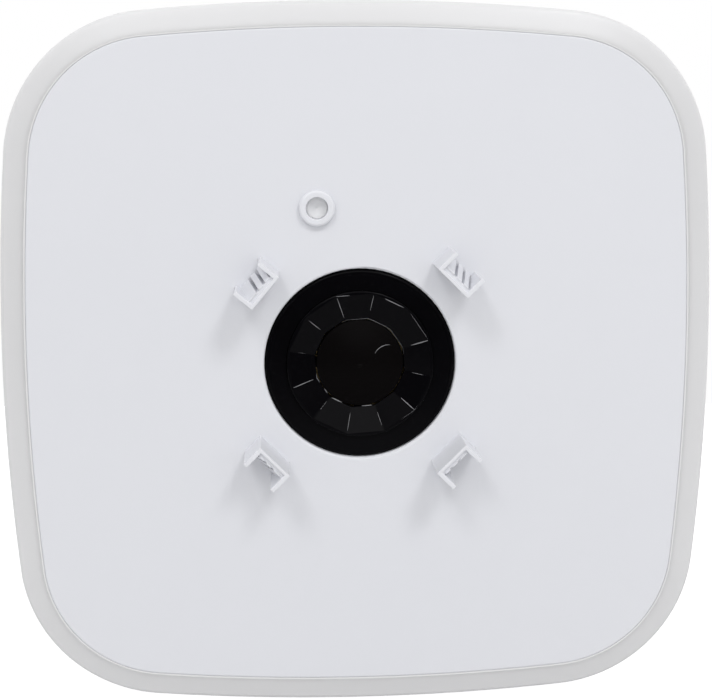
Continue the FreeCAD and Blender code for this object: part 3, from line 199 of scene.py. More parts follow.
def closeMaterial(tree, shader):
    link(tree, shader.outputs[0], tree.nodes.new("ShaderNodeOutputMaterial").inputs["Surface"])


def seenStraight(tree, path):  # 1 where the camera looks at it, also through clear plastic
    return maths(tree, "MAXIMUM", path.outputs["Is Camera Ray"], path.outputs["Is Transmission Ray"])


def dotProduct(tree, first, second):
    node = tree.nodes.new("ShaderNodeVectorMath")
    node.operation = "DOT_PRODUCT"
    link(tree, first, node.inputs[0])
    if isinstance(second, Vector):
        node.inputs[1].default_value = second
    else:
        link(tree, second, node.inputs[1])
    return node.outputs["Value"]


# effects that several finishes share: a pattern is waves to the metre, detail and roughness (fine grain and
# specks take their waves from the group's size), and an edge says where a mask starts and where it is full
effectShape = {
    "fineDetail": 2.0, "slowWave": (38.0, 1.0), "mottle": (14.0, 3.0, 0.6),
    "wearPatches": (260.0, 4.0, 0.7), "wearEdge": (0.38, 0.62), "wearSamples": 4, "softSamples": 6,
    "levelEdge": (-0.2, 1.0), "haze": (22.0, 4.0, 0.6), "hazeEdge": (0.3, 0.8),
    "specks": (3.0, 0.65), "speckEdge": (0.55, 0.75), "speckShare": 0.5,
    "scratches": (1.0, 2.0), "scratchEdge": (0.52, 0.75),
}


def makeMouldGrain():
    tree, given, made = openGroup(
        "mouldGrain",
        [("Size", "NodeSocketFloat", 900.0), ("Ripple", "NodeSocketFloat", 0.3)],
        [("Height", "NodeSocketFloat"), ("Mottle", "NodeSocketFloat")],
    )
    point = objectPoint(tree)
    fine = noise(tree, point, given.outputs["Size"], effectShape["fineDetail"])
    slow = noise(tree, point, *effectShape["slowWave"])  # the slow wave of a cooled moulding
    wave = maths(tree, "MULTIPLY", slow, given.outputs["Ripple"])
    link(tree, maths(tree, "ADD", fine, wave), made.inputs["Height"])
    link(tree, noise(tree, point, *effectShape["mottle"]), made.inputs["Mottle"])
    return tree


def makeEdgeWear():
    tree, given, made = openGroup(
        "edgeWear",
        [("Radius", "NodeSocketFloat", 0.0006), ("Gain", "NodeSocketFloat", 3.0)],
        [("Mask", "NodeSocketFloat")],
    )
    rounded = tree.nodes.new("ShaderNodeBevel")
    rounded.samples = effectShape["wearSamples"]
    link(tree, given.outputs["Radius"], rounded.inputs["Radius"])
    bend = maths(tree, "SUBTRACT", 1.0, dotProduct(tree, rounded.outputs[0], facing(tree)))
    strong = maths(tree, "MULTIPLY", bend, given.outputs["Gain"], clamp=True)
    patchy = ramp(tree, noise(tree, objectPoint(tree), *effectShape["wearPatches"]), *effectShape["wearEdge"])
    link(tree, maths(tree, "MULTIPLY", strong, patchy, clamp=True), made.inputs["Mask"])
    return tree


def makeSettledDust():
    tree, given, made = openGroup(
        "settledDust",
        [("Amount", "NodeSocketFloat", 0.2), ("Size", "NodeSocketFloat", 700.0)],
        [("Mask", "NodeSocketFloat")],
    )
    up = axes(tree, facing(tree))["Z"]
    level = ramp(tree, up, *effectShape["levelEdge"])  # more of it on what faces up
    point = objectPoint(tree)
    fine = noise(tree, point, given.outputs["Size"], *effectShape["specks"])
    specks = ramp(tree, fine, *effectShape["speckEdge"])
    haze = ramp(tree, noise(tree, point, *effectShape["haze"]), *effectShape["hazeEdge"])
    coat = maths(tree, "MULTIPLY", level, haze)
    dust = maths(tree, "ADD", coat, maths(tree, "MULTIPLY", specks, effectShape["speckShare"]))
    link(tree, maths(tree, "MULTIPLY", dust, given.outputs["Amount"], clamp=True), made.inputs["Mask"])
    return tree


def makeFineScratches():
    tree, given, made = openGroup(
        "fineScratches",
        [("Length", "NodeSocketFloat", 60.0), ("Across", "NodeSocketFloat", 2400.0)],
        [("Mask", "NodeSocketFloat")],
    )
    stretch = tree.nodes.new("ShaderNodeCombineXYZ")
    for axis, label in (("X", "Length"), ("Y", "Length"), ("Z", "Across")):
        link(tree, given.outputs[label], stretch.inputs[axis])
    scaled = tree.nodes.new("ShaderNodeVectorMath")
    scaled.operation = "MULTIPLY"
    link(tree, objectPoint(tree), scaled.inputs[0])
    link(tree, stretch.outputs[0], scaled.inputs[1])
    lines = ramp(tree, noise(tree, scaled.outputs[0], *effectShape["scratches"]), *effectShape["scratchEdge"])
    link(tree, lines, made.inputs["Mask"])
    return tree


mouldGrain = makeMouldGrain()
edgeWear = makeEdgeWear()
settledDust = makeSettledDust()
fineScratches = makeFineScratches()
print("effects made")


# one maker for the moulded plastics, each with its own values
def mouldedPlastic(name, look):
    material, tree = openMaterial(name)
    shader = tree.nodes.new("ShaderNodeBsdfPrincipled")
    grain = place(tree, mouldGrain, Size=look["grain"], Ripple=look["ripple"])
    wear = place(tree, edgeWear, Radius=look["wearWidth"], Gain=look["wear"])
    dust = place(tree, settledDust, Amount=look["dust"])
    tone = mixColour(tree, grain.outputs["Mottle"], look["shade"], look["base"])
    tone = mixColour(tree, wear.outputs["Mask"], tone, look["worn"])
    tone = mixColour(tree, dust.outputs["Mask"], tone, look["dusty"])
    link(tree, tone, shader.inputs["Base Color"])
    rough = spread(tree, grain.outputs["Mottle"], look["roughSpread"], look["rough"])
    dull = maths(tree, "MULTIPLY", dust.outputs["Mask"], look["dustDulls"])
    link(tree, maths(tree, "ADD", rough, dull, clamp=True), shader.inputs["Roughness"])
    bump = bumpFrom(tree, grain.outputs["Height"], look["bump"], look["bumpHeight"])
    if "soft" in look:
        corner = tree.nodes.new("ShaderNodeBevel")  # sharp edges of the solid look rounded
        corner.samples = effectShape["softSamples"]
        corner.inputs["Radius"].default_value = look["soft"]
        link(tree, corner.outputs[0], bump.inputs["Normal"])
    link(tree, bump.outputs[0], shader.inputs["Normal"])
    for socket, value in (("Specular IOR Level", "gloss"), ("Coat Weight", "coat"),
                          ("Coat Roughness", "coatRough"), ("Subsurface Weight", "depth"),
                          ("Subsurface Radius", "depthTone"), ("Subsurface Scale", "depthScale")):
        shader.inputs[socket].default_value = look[value]
    closeMaterial(tree, shader)
    return material, tree, shader


def plastic(base, shade, **changes):
    look = {
        "base": base, "shade": shade, "worn": base, "dusty": (0.62, 0.60, 0.56),
        "grain": 900.0, "ripple": 0.3, "bump": 0.10, "bumpHeight": 0.0002, "rough": 0.42, "roughSpread": 0.10,
        "wear": 0.6, "wearWidth": 0.0006, "dust": 0.02, "dustDulls": 0.4,
        "gloss": 0.5, "coat": 0.0, "coatRough": 0.05,
        "depth": 0.0, "depthTone": (1.0, 1.0, 1.0), "depthScale": 0.002,
    }
    look.update(changes)
    return look


plasticLooks = {
    "panel_plastic": plastic((0.758, 0.765, 0.802), (0.738, 0.746, 0.784), rough=0.40, bump=0.06,
                             worn=(0.83, 0.835, 0.86), wear=0.6, depth=0.15, depthScale=0.0015),
    "frame_diffuser": plastic((0.728, 0.727, 0.736), (0.694, 0.693, 0.702), rough=0.30, bump=0.05,
                              worn=(0.78, 0.78, 0.78), wear=1.0, depth=0.5, depthScale=0.004, coat=0.04),
    "housing_plastic": plastic((0.70, 0.71, 0.735), (0.665, 0.675, 0.70), grain=1500.0, bump=0.22,
                               rough=0.5, dust=0.10, worn=(0.78, 0.785, 0.80), wear=1.4, soft=0.0005),
    "bracket_plastic": plastic((0.62, 0.63, 0.65), (0.58, 0.59, 0.61), grain=1500.0, bump=0.25,
                               rough=0.52, dust=0.12, worn=(0.72, 0.725, 0.74), wear=1.6, soft=0.0004),
    "horn_plastic": plastic((0.0022, 0.0020, 0.0028), (0.0016, 0.0015, 0.0021), grain=500.0, ripple=1.2,
                            bump=0.03, rough=0.13, roughSpread=0.06, gloss=0.055, dust=0.004,
                            worn=(0.012, 0.012, 0.014), wear=1.5, wearWidth=0.0003),
    "plug_plastic": plastic((0.0034, 0.0028, 0.0029), (0.0024, 0.0021, 0.0022), grain=500.0, ripple=1.2,
                            bump=0.02, rough=0.24, roughSpread=0.05, gloss=0.018, dust=0.002),
    # painted highlight: a light grey colour on the thin lines that stand for the lamps' glints on the black
    # horn and plug; they are glossy as well, so the lamps catch them
    "painted_glint": plastic((0.24, 0.24, 0.25), (0.12, 0.12, 0.13), grain=300.0, rough=0.22, roughSpread=0.10,
                          bump=0.03, gloss=0.6, dust=0.02),
    "frame_lip": plastic((0.76, 0.76, 0.765), (0.73, 0.73, 0.735), rough=0.35, bump=0.05),
    "cover_plastic": plastic((0.022, 0.022, 0.024), (0.017, 0.017, 0.019), grain=1500.0, bump=0.3),
    "seal_rubber": plastic((0.030, 0.030, 0.031), (0.022, 0.022, 0.023), rough=0.68, bump=0.18),
    "holder_plastic": plastic((0.030, 0.031, 0.034), (0.024, 0.025, 0.027), rough=0.48, bump=0.2),
    "button_plastic": plastic((0.21, 0.22, 0.24), (0.18, 0.19, 0.21), rough=0.45, bump=0.2, wear=2.0,
                              worn=(0.32, 0.33, 0.35)),
    "reflector_plastic": plastic((0.80, 0.80, 0.79), (0.77, 0.77, 0.76), rough=0.22, coat=0.2),
    "terminal_plastic": plastic((0.045, 0.22, 0.12), (0.035, 0.18, 0.10), rough=0.35, wear=2.0,
                                worn=(0.12, 0.30, 0.20)),
    "chip_plastic": plastic((0.024, 0.024, 0.025), (0.018, 0.018, 0.019), grain=2500.0, rough=0.55, bump=0.2),
    "label_film": plastic((0.78, 0.775, 0.76), (0.75, 0.745, 0.73), grain=2200.0, rough=0.38, bump=0.08,
                          dust=0.06),
    "lead_plastic": plastic((0.36, 0.025, 0.022), (0.30, 0.02, 0.018), rough=0.36, bump=0.05),
    "light_pipe": plastic((0.88, 0.885, 0.90), (0.82, 0.825, 0.84), rough=0.48, coat=0.05, coatRough=0.3,
                          bump=0.04, depth=0.6, depthScale=0.003),
}
materials = {}
for slot, look in plasticLooks.items():
    materials[slot] = mouldedPlastic(slot, look)[0]


# metals, drawn or plated, with fine lines
metalShape = {"grain": 1400.0, "ripple": 0.2, "wear": 3.0, "wearWidth": 0.0003, "wornGain": 1.2,
              "roughSpread": 0.18, "bump": 0.15, "bumpHeight": 0.00008}


def workedMetal(name, base, shade, rough, lines):
    material, tree = openMaterial(name)
    shader = tree.nodes.new("ShaderNodeBsdfPrincipled")
    scratch = place(tree, fineScratches, Across=lines)
    grain = place(tree, mouldGrain, Size=metalShape["grain"], Ripple=metalShape["ripple"])
    wear = place(tree, edgeWear, Radius=metalShape["wearWidth"], Gain=metalShape["wear"])
    tone = mixColour(tree, scratch.outputs["Mask"], base, shade)
    bright = tuple(min(1.0, metalShape["wornGain"] * c) for c in base)
    link(tree, mixColour(tree, wear.outputs["Mask"], tone, bright), shader.inputs["Base Color"])
    value = spread(tree, scratch.outputs["Mask"], metalShape["roughSpread"], rough)
    link(tree, value, shader.inputs["Roughness"])
    shader.inputs["Metallic"].default_value = 1.0
    bump = bumpFrom(tree, grain.outputs["Height"], metalShape["bump"], metalShape["bumpHeight"])
    link(tree, bump.outputs[0], shader.inputs["Normal"])
    closeMaterial(tree, shader)
    return material


metalLooks = {  # tone, shade, roughness, lines to the metre
    "screw_steel": ((0.56, 0.56, 0.55), (0.42, 0.42, 0.41), 0.32, 900.0),
    "disc_brass": ((0.72, 0.53, 0.24), (0.58, 0.41, 0.17), 0.28, 1600.0),
    "shield_steel": ((0.62, 0.62, 0.61), (0.50, 0.50, 0.49), 0.34, 2400.0),
    "capacitor_can": ((0.66, 0.67, 0.69), (0.52, 0.53, 0.55), 0.30, 1800.0),
    "contact_steel": ((0.68, 0.67, 0.64), (0.55, 0.54, 0.52), 0.24, 1500.0),
    "spring_steel": ((0.50, 0.50, 0.51), (0.38, 0.38, 0.39), 0.30, 1200.0),
}
for slot, (base, shade, rough, lines) in metalLooks.items():
    materials[slot] = workedMetal(slot, base, shade, rough, lines)
print("plastics and metals made")


# circuit board: solder mask over copper tracks, and pads in patches
boardLook = {"mask": (0.012, 0.115, 0.055), "track": (0.022, 0.175, 0.085), "pad": (0.62, 0.55, 0.36),
             "pitch": 260.0, "trackJitter": 0.55, "trackEdge": (0.42, 0.46),
             "padPitch": 1.4, "padJitter": 0.9, "padEdge": (0.16, 0.13), "padPatches": 60.0,
             "patchEdge": (0.56, 0.58), "rough": 0.28, "roughSpread": 0.08,
             "bump": 0.3, "bumpHeight": 0.00005}


def cellPattern(tree, point, scale, jitter):
    node = tree.nodes.new("ShaderNodeTexVoronoi")
    node.inputs["Scale"].default_value = scale
    node.inputs["Randomness"].default_value = jitter
    link(tree, point, node.inputs["Vector"])
    return node


def makeBoard():
    material, tree = openMaterial("board_laminate")
    shader = tree.nodes.new("ShaderNodeBsdfPrincipled")
    look = boardLook
    point = objectPoint(tree)
    squares = cellPattern(tree, point, look["pitch"], look["trackJitter"])
    squares.distance = "CHEBYCHEV"
    track = ramp(tree, squares.outputs["Distance"], *look["trackEdge"])
    rounds = cellPattern(tree, point, look["pitch"] * look["padPitch"], look["padJitter"])
    pad = ramp(tree, rounds.outputs["Distance"], *look["padEdge"])
    sparse = ramp(tree, noise(tree, point, look["padPatches"], 1.0), *look["patchEdge"])
    pad = maths(tree, "MULTIPLY", pad, sparse, clamp=True)
    tone = mixColour(tree, track, look["mask"], look["track"])
    link(tree, mixColour(tree, pad, tone, look["pad"]), shader.inputs["Base Color"])
    link(tree, pad, shader.inputs["Metallic"])
    link(tree, spread(tree, track, look["roughSpread"], look["rough"]), shader.inputs["Roughness"])
    bump = bumpFrom(tree, maths(tree, "ADD", track, pad), look["bump"], look["bumpHeight"])
    link(tree, bump.outputs[0], shader.inputs["Normal"])
    closeMaterial(tree, shader)
    return material


materials["board_laminate"] = makeBoard()


# piezo ceramic with its silvered middle
ceramicLook = {"body": (0.70, 0.68, 0.60), "shade": (0.64, 0.62, 0.55), "silver": (0.60, 0.60, 0.58),
               "silverEdge": (0.0086, 0.0083)}


def makeCeramic():
    look = plastic(ceramicLook["body"], ceramicLook["shade"], rough=0.55, grain=2600.0, bump=0.3)
    material, tree, shader = mouldedPlastic("disc_ceramic", look)
    point = axes(tree, objectPoint(tree))
    away = maths(tree, "SQRT", maths(tree, "ADD", maths(tree, "POWER", point["X"], 2.0),
                                     maths(tree, "POWER", point["Z"], 2.0)))
    silver = ramp(tree, away, *ceramicLook["silverEdge"])
    paintOver(tree, shader, silver, ceramicLook["silver"])
    link(tree, silver, shader.inputs["Metallic"])
    return material


materials["disc_ceramic"] = makeCeramic()


# cell sleeve: shrink film with a plain pale band at its end
cellLook = {"film": (0.030, 0.050, 0.150), "shade": (0.024, 0.042, 0.130), "band": (0.62, 0.63, 0.65),
            "halfLength": 0.0175, "bandEdge": (0.0150, 0.0152)}


def makeCellSleeve():
    look = plastic(cellLook["film"], cellLook["shade"], rough=0.22, coat=0.3, bump=0.05)
    material, tree, shader = mouldedPlastic("cell_sleeve", look)
    along = maths(tree, "PINGPONG", axes(tree, objectPoint(tree))["X"], cellLook["halfLength"])
    paintOver(tree, shader, ramp(tree, along, *cellLook["bandEdge"]), cellLook["band"])
    return material


materials["cell_sleeve"] = makeCellSleeve()


# ferrite bobbin with turns of copper round it
coilLook = {"ferrite": (0.030, 0.028, 0.028), "shade": (0.022, 0.020, 0.020), "copper": (0.62, 0.24, 0.09),
            "turns": 1800.0, "turnEdge": (-0.2, 0.6), "sideEdge": (0.3, 0.2)}


def makeCoil():
    look = plastic(coilLook["ferrite"], coilLook["shade"], rough=0.5, grain=2000.0, bump=0.3)
    material, tree, shader = mouldedPlastic("coil_ferrite", look)
    depth = axes(tree, objectPoint(tree))["Y"]
    wave = maths(tree, "SINE", maths(tree, "MULTIPLY", depth, coilLook["turns"] * math.tau))
    side = ramp(tree, maths(tree, "ABSOLUTE", axes(tree, facing(tree))["Y"]), *coilLook["sideEdge"])
    wire = maths(tree, "MULTIPLY", ramp(tree, wave, *coilLook["turnEdge"]), side)
    paintOver(tree, shader, wire, coilLook["copper"])
    link(tree, wire, shader.inputs["Metallic"])
    return material


materials["coil_ferrite"] = makeCoil()


# light chip: yellow phosphor in a white cup
chipLook = {"phosphor": (0.80, 0.62, 0.10), "cup": (0.78, 0.78, 0.75), "shade": (0.74, 0.74, 0.70),
            "faceEdge": (0.7, 0.9)}


def makeLightChip():
    look = plastic(chipLook["cup"], chipLook["shade"], rough=0.3, coat=0.4)
    material, tree, shader = mouldedPlastic("light_chip", look)
    face = ramp(tree, maths(tree, "ABSOLUTE", axes(tree, facing(tree))["Y"]), *chipLook["faceEdge"])
    paintOver(tree, shader, face, chipLook["phosphor"])
    return material


materials["light_chip"] = makeLightChip()


# every piece of the frame takes the finish that its record names
for part in frame["record"]["subparts"]:
    piece = nodes[part["node"]]
    piece.data.materials.clear()
    piece.data.materials.append(materials[part["material_slot"]])
nodes["sounder_plug"].data.materials[0] = materials["plug_plastic"]
print("finishes placed")


# helpers for new pieces, and the finishes that stand for a slot of the record
facetWeight = 90


def addPiece(name, mesh, slot, body="siren"):
    for face in mesh.polygons:
        face.use_smooth = True
    piece = bpy.data.objects.new(name, mesh)
    scene.collection.objects.link(piece)
    mesh.materials.append(materials[slot])
    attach(piece, body)
    return piece


def keepFacets(piece):
    weighted = piece.modifiers.new("keepFacets", "WEIGHTED_NORMAL")
    weighted.weight = facetWeight
    weighted.keep_sharp = True


def bands(build, rings):  # the skin between rings of points, each with the same count
    for near, far in zip(rings, rings[1:]):
        for i in range(len(near)):
            j = (i + 1) % len(near)
            build.faces.new((near[i], near[j], far[j], far[i]))


def meshFrom(name, build):
    bmesh.ops.recalc_face_normals(build, faces=build.faces)
    mesh = bpy.data.meshes.new(name)
    build.to_mesh(mesh)
    build.free()
    return mesh


def ringMesh(name, rings):  # one closed skin, whose last ring joins the first
    build = bmesh.new()
    made = [[build.verts.new(point) for point in ring] for ring in rings]
    bands(build, made + [made[0]])
    return meshFrom(name, build)


# horn mouth: twelve facets with softened ridges, so that the lamps draw lines along them
hornShape = {
    "facets": 12, "firstRidge": 19.0, "ridgeSoft": 1.1,
    "outer": 20.75, "foot": 30.0, "lipTop": 36.5, "lipRound": 0.4,
    "rimRound": 0.22, "throat": 12.9, "throatTop": 33.9, "throatRound": 0.3, "throatFoot": 31.0,
    "flange": 23.85, "flangeBack": 26.0, "bore": 15.5,
    "ridgeShares": (0.0, 0.3, 0.6, 1.0, 1.5), "facetShare": 0.55,
    "lipSteps": 8, "rimSteps": 3, "throatSteps": 4,
}


def hornAngles():  # of one facet, crowded near its two ridges
    half = 180.0 / hornShape["facets"]
    soft = hornShape["ridgeSoft"]
    side = [half - soft * share for share in hornShape["ridgeShares"]] + [half * hornShape["facetShare"]]
    return sorted([-a for a in side[1:]] + [0.0] + side)


def hornRing(radius, depth, facetShare):
    half = math.radians(180.0 / hornShape["facets"])
    soft = math.radians(hornShape["ridgeSoft"])
    points = []
    for facet in range(hornShape["facets"]):
        middle = math.radians(hornShape["firstRidge"]) + (2 * facet + 1) * half
        for degrees in hornAngles():
            away = math.radians(degrees)
            fromRidge = half - abs(away)
            rounding = max(0.0, soft - fromRidge) ** 2 / (2 * soft)
            flat = radius * math.cos(half) / math.cos(half - fromRidge - rounding)
            r = ((1 - facetShare) * radius + facetShare * flat) / 1000
            points.append((r * math.cos(middle + away), -depth / 1000, r * math.sin(middle + away)))
    return points


def makeHorn():
    shape = hornShape
    corners = (("bore", "throatFoot"), ("bore", "flangeBack"), ("flange", "flangeBack"), ("flange", "foot"),
               ("outer", "foot"))
    rings = [hornRing(shape[radius], shape[depth], 0) for radius, depth in corners]
    lip = shape["lipRound"]
    for step in range(shape["lipSteps"] + 1):  # the round lip
        angle = math.radians(90.0 * step / shape["lipSteps"])
        rings.append(hornRing(shape["outer"] - lip + lip * math.cos(angle),
                              shape["lipTop"] - lip + lip * math.sin(angle), 0))
    rim = shape["outer"] - lip
    drop = (shape["lipTop"] - shape["throatTop"]) / (rim - shape["throat"])
    soft = shape["rimRound"]
    for step in range(shape["rimSteps"] + 1):  # over the rim into the funnel
        share = step / shape["rimSteps"]
        rings.append(hornRing(rim - soft * share, shape["lipTop"] - soft * drop * share * share, 1))
    soft = shape["throatRound"]
    for step in range(shape["throatSteps"] + 1):  # round the throat's edge
        share = step / shape["throatSteps"]
        out = soft * (1 - share) ** 2
        down = soft * share ** 2
        rings.append(hornRing(shape["throat"] + out, shape["throatTop"] + out * drop - down, 1))
    rings.append(hornRing(shape["throat"], shape["throatFoot"], 1))
    horn = addPiece("hornMouth", ringMesh("hornMouth", rings), "horn_plastic")
    keepFacets(horn)
    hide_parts("sounder_horn")


makeHorn()


# painted highlights: thin light grey lines where the lamps glint along the horn's ridges, on its rim and
# throat, and on the plug, which catch the lamps as well
glintShape = {
    "sides": 8, "steps": 12, "sink": 0.03, "tip": 0.12,
    "ridges": (  # clock angle, share of the way out at which it starts and ends, half width in mm
        (71, 0.30, 1.00, 0.19), (101, 0.20, 0.80, 0.07), (131, 0.30, 1.00, 0.16), (161, 0.20, 0.85, 0.08),
        (191, 0.15, 0.95, 0.09), (221, 0.10, 0.70, 0.06), (251, 0.10, 1.00, 0.13), (281, 0.20, 0.80, 0.05),
        (311, 0.20, 0.85, 0.12), (341, 0.05, 1.00, 0.12), (11, 0.25, 1.00, 0.09), (41, 0.30, 0.90, 0.04),
    ),
    "rims": ((-20, -8, 0.09), (20, 38, 0.13), (42, 72, 0.06), (120, 150, 0.04)),
    "throats": ((164, 178, 0.13), (204, 219, 0.18), (227, 234, 0.12), (244, 256, 0.10), (-25, 80, 0.045)),
    "plugArc": {"middle": (8.0, 0.8), "radius": 4.4, "from": -62, "to": 8, "size": 0.10,
                "lookFrom": -0.1, "front": -0.035},
}


def tube(build, points, sizes, sides):
    rings = []
    last = len(points) - 1
    for i, (point, size) in enumerate(zip(points, sizes)):
        turn = (points[min(i + 1, last)] - points[max(i - 1, 0)]).to_track_quat("Z", "Y")
        ring = []
        for step in range(sides):
            a = math.tau * step / sides
            across = Vector((size * math.cos(a), size * math.sin(a), 0))
            ring.append(build.verts.new(point + turn @ across))
        rings.append(ring)
    bands(build, rings)
    build.faces.new(rings[0])
    build.faces.new(rings[-1])


def taperedLine(build, points, halfWidth):
    last = len(points) - 1
    swell = [max(glintShape["tip"], math.sin(math.pi * i / last) ** 0.5) for i in range(last + 1)]
    tube(build, points, [halfWidth * share / 1000 for share in swell], glintShape["sides"])


def onHorn(share, clock):
    shape = hornShape
    half = 180.0 / shape["facets"]
    rim = shape["outer"] - shape["lipRound"]
    away = (90.0 - clock - shape["firstRidge"]) % (2 * half) - half
    flat = math.cos(math.radians(half)) / math.cos(math.radians(away))  # the chord between two ridges
    radius = (shape["throat"] + (rim - shape["throat"]) * share) * flat
    depth = shape["throatTop"] + (shape["lipTop"] - shape["throatTop"]) * share - glintShape["sink"]
    a = math.radians(90.0 - clock)
    return Vector((radius * math.cos(a), -depth, radius * math.sin(a))) / 1000


def onPlug(clock):
    arc = glintShape["plugArc"]
    a = math.radians(90.0 - clock)
    x = (arc["middle"][0] + arc["radius"] * math.cos(a)) / 1000
    z = (arc["middle"][1] + arc["radius"] * math.sin(a)) / 1000
    found, spot, _, _ = nodes["sounder_plug"].ray_cast(Vector((x, arc["lookFrom"], z)), Vector((0, 1, 0)))
    return spot if found else Vector((x, arc["front"], z))


def between(start, end):  # the steps along one line
    steps = glintShape["steps"]
    return [start + (end - start) * (i / steps) for i in range(steps + 1)]


def makeGlints():
    build = bmesh.new()
    for clock, start, end, size in glintShape["ridges"]:
        taperedLine(build, [onHorn(share, clock) for share in between(start, end)], size)
    for share, lines in ((1.0, glintShape["rims"]), (0.0, glintShape["throats"])):
        for start, end, size in lines:
            taperedLine(build, [onHorn(share, clock) for clock in between(start, end)], size)
    addPiece("hornGlints", meshFrom("hornGlints", build), "painted_glint")
    arc = glintShape["plugArc"]
    build = bmesh.new()
    taperedLine(build, [onPlug(clock) for clock in between(arc["from"], arc["to"])], arc["size"])
    addPiece("plugGlint", meshFrom("plugGlint", build), "painted_glint")


makeGlints()


# milky lip of the light frame that fills the seam round the panel
lipShape = {"side": 648.0, "corner": 42.0, "half": 100.0, "outerInset": 6.66, "innerInset": 7.19,
            "front": 35.98, "shoulder": 0.04, "dip": 0.02, "back": 34.0, "steps": 48}


def outlineRing(inset, depth):  # the siren's outline moved inwards: four side arcs, four corner arcs
    side, corner = lipShape["side"], lipShape["corner"]
    reach = side - lipShape["half"]
    centre = (math.sqrt(2 * (side - corner) ** 2 - reach ** 2) - reach) / 2
    half = math.atan2(centre, centre + reach)
    points = []
    for quarter in range(4):
        turn = quarter * math.pi / 2
        c, s = math.cos(turn), math.sin(turn)
        for x0, z0, radius, start, end in (
            (-reach, 0, side - inset, -half, half),
            (centre, centre, corner - inset, half, math.pi / 2 - half),
        ):
            for step in range(lipShape["steps"]):
                a = start + (end - start) * step / lipShape["steps"]
                x, z = x0 + radius * math.cos(a), z0 + radius * math.sin(a)
                points.append(((x * c - z * s) / 1000, -depth / 1000, (x * s + z * c) / 1000))
    return points


def makeFrameLip():
    shape = lipShape
    outer, inner, front = shape["outerInset"], shape["innerInset"], shape["front"]
    profile = ((outer, shape["back"]), (outer, front - shape["shoulder"]), (outer + shape["shoulder"], front),
               ((outer + inner) / 2, front - shape["dip"]), (inner - shape["shoulder"], front),
               (inner, front - shape["shoulder"]), (inner, shape["back"]))
    rings = [outlineRing(inset, depth) for inset, depth in profile]
    keepFacets(addPiece("frameLip", ringMesh("frameLip", rings), "frame_lip"))


makeFrameLip()


# light pipe: frosted rod with a dished end, set back in its collar
pipeShape = {"radius": 3.03, "flangeThick": 1.5, "edge": 0.1, "dish": 0.55, "dishRadius": 2.8, "dishSteps": 7,
             "middle": 0.05, "leastReach": 1.0, "steps": 48}


def makePipe():
    low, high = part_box("indicator_light_pipe")
    x0, z0 = 500 * (low.x + high.x), 500 * (low.z + high.z)
    front, back, flange = -1000 * low.y, -1000 * high.y, 500 * (high.x - low.x)
    rod, edge, middle = pipeShape["radius"], pipeShape["edge"], pipeShape["middle"]
    seat = min(-1000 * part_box("front_panel")[1].y, front - pipeShape["leastReach"])  # on the panel's back
    under = seat - pipeShape["flangeThick"]
    profile = [(middle, back), (rod, back), (rod, under), (flange, under), (flange, seat), (rod, seat),
               (rod, front - edge), (rod - edge, front), (pipeShape["dishRadius"], front)]
    for step in range(1, pipeShape["dishSteps"] + 1):
        share = 1 - step / pipeShape["dishSteps"]
        depth = front - pipeShape["dish"] * (1 - share * share)
        profile.append((max(middle, pipeShape["dishRadius"] * share), depth))
    rings = []
    for radius, depth in profile:
        rings.append([])
        for step in range(pipeShape["steps"]):
            a = math.tau * step / pipeShape["steps"]
            x, z = x0 + radius * math.cos(a), z0 + radius * math.sin(a)
            rings[-1].append((x / 1000, -depth / 1000, z / 1000))
    pipe = addPiece("pipeRod", ringMesh("pipeRod", rings), "light_pipe")
    keepFacets(pipe)
    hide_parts("indicator_light_pipe")


makePipe()


# tamper spring: an evenly wound coil of round wire in the place of the frame's spring
springShape = {"wire": 0.0002, "turns": 4, "steps": 24, "sides": 10, "travel": 0.0008}


def makeSpring():
    low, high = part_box("tamper_spring")
    wire, steps = springShape["wire"], springShape["turns"] * springShape["steps"]
    middle, radius, length = (low + high) / 2, (high.x - low.x) / 2 - wire, high.y - low.y
    points = []
    for step in range(steps + 1):
        a = math.tau * step / springShape["steps"]
        y = high.y - wire - (length - 2 * wire) * step / steps
        points.append(Vector((middle.x + radius * math.cos(a), y, middle.z + radius * math.sin(a))))
    build = bmesh.new()
    tube(build, points, [wire] * len(points), springShape["sides"])
    spring = addPiece("springCoil", meshFrom("springCoil", build), "spring_steel")
    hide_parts("tamper_spring")
    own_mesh(spring)


makeSpring()


# the moulded edges of the clips, of the collar and round the panel are a little soft: each slice is the depth
# in front of which sharp edges are rounded, how far out from the middle it starts and its share of the width
edgeShape = {"width": 0.00024, "sharp": 0.7, "slices": ((-0.0366, 0.0, 1.0), (-0.03596, 0.06, 0.5)),
             "weld": 0.000002, "segments": 3}


def makeEdgeMarker():
    tree = bpy.data.node_groups.new("softEdgeMarker", "GeometryNodeTree")
    for way in ("INPUT", "OUTPUT"):
        tree.interface.new_socket(name="Geometry", in_out=way, socket_type="NodeSocketGeometry")
    point = axes(tree, tree.nodes.new("GeometryNodeInputPosition").outputs[0])
    reach = maths(tree, "MAXIMUM", maths(tree, "ABSOLUTE", point["X"]), maths(tree, "ABSOLUTE", point["Z"]))
    angle = tree.nodes.new("GeometryNodeInputMeshEdgeAngle").outputs[0]
    sharp = maths(tree, "GREATER_THAN", angle, edgeShape["sharp"])
    chosen = 0.0
    for front, start, share in edgeShape["slices"]:
        inside = maths(tree, "MULTIPLY", maths(tree, "LESS_THAN", point["Y"], front),
                       maths(tree, "GREATER_THAN", reach, start))
        chosen = maths(tree, "MAXIMUM", maths(tree, "MULTIPLY", inside, share), chosen)
    store = tree.nodes.new("GeometryNodeStoreNamedAttribute")
    store.data_type = "FLOAT"
    store.domain = "EDGE"
    store.inputs["Name"].default_value = "bevel_weight_edge"
    link(tree, tree.nodes.new("NodeGroupInput").outputs[0], store.inputs["Geometry"])
    value = next(s for s in store.inputs if s.name == "Value" and s.enabled)
    link(tree, maths(tree, "MULTIPLY", sharp, chosen), value)
    link(tree, store.outputs[0], tree.nodes.new("NodeGroupOutput").inputs[0])
    return tree


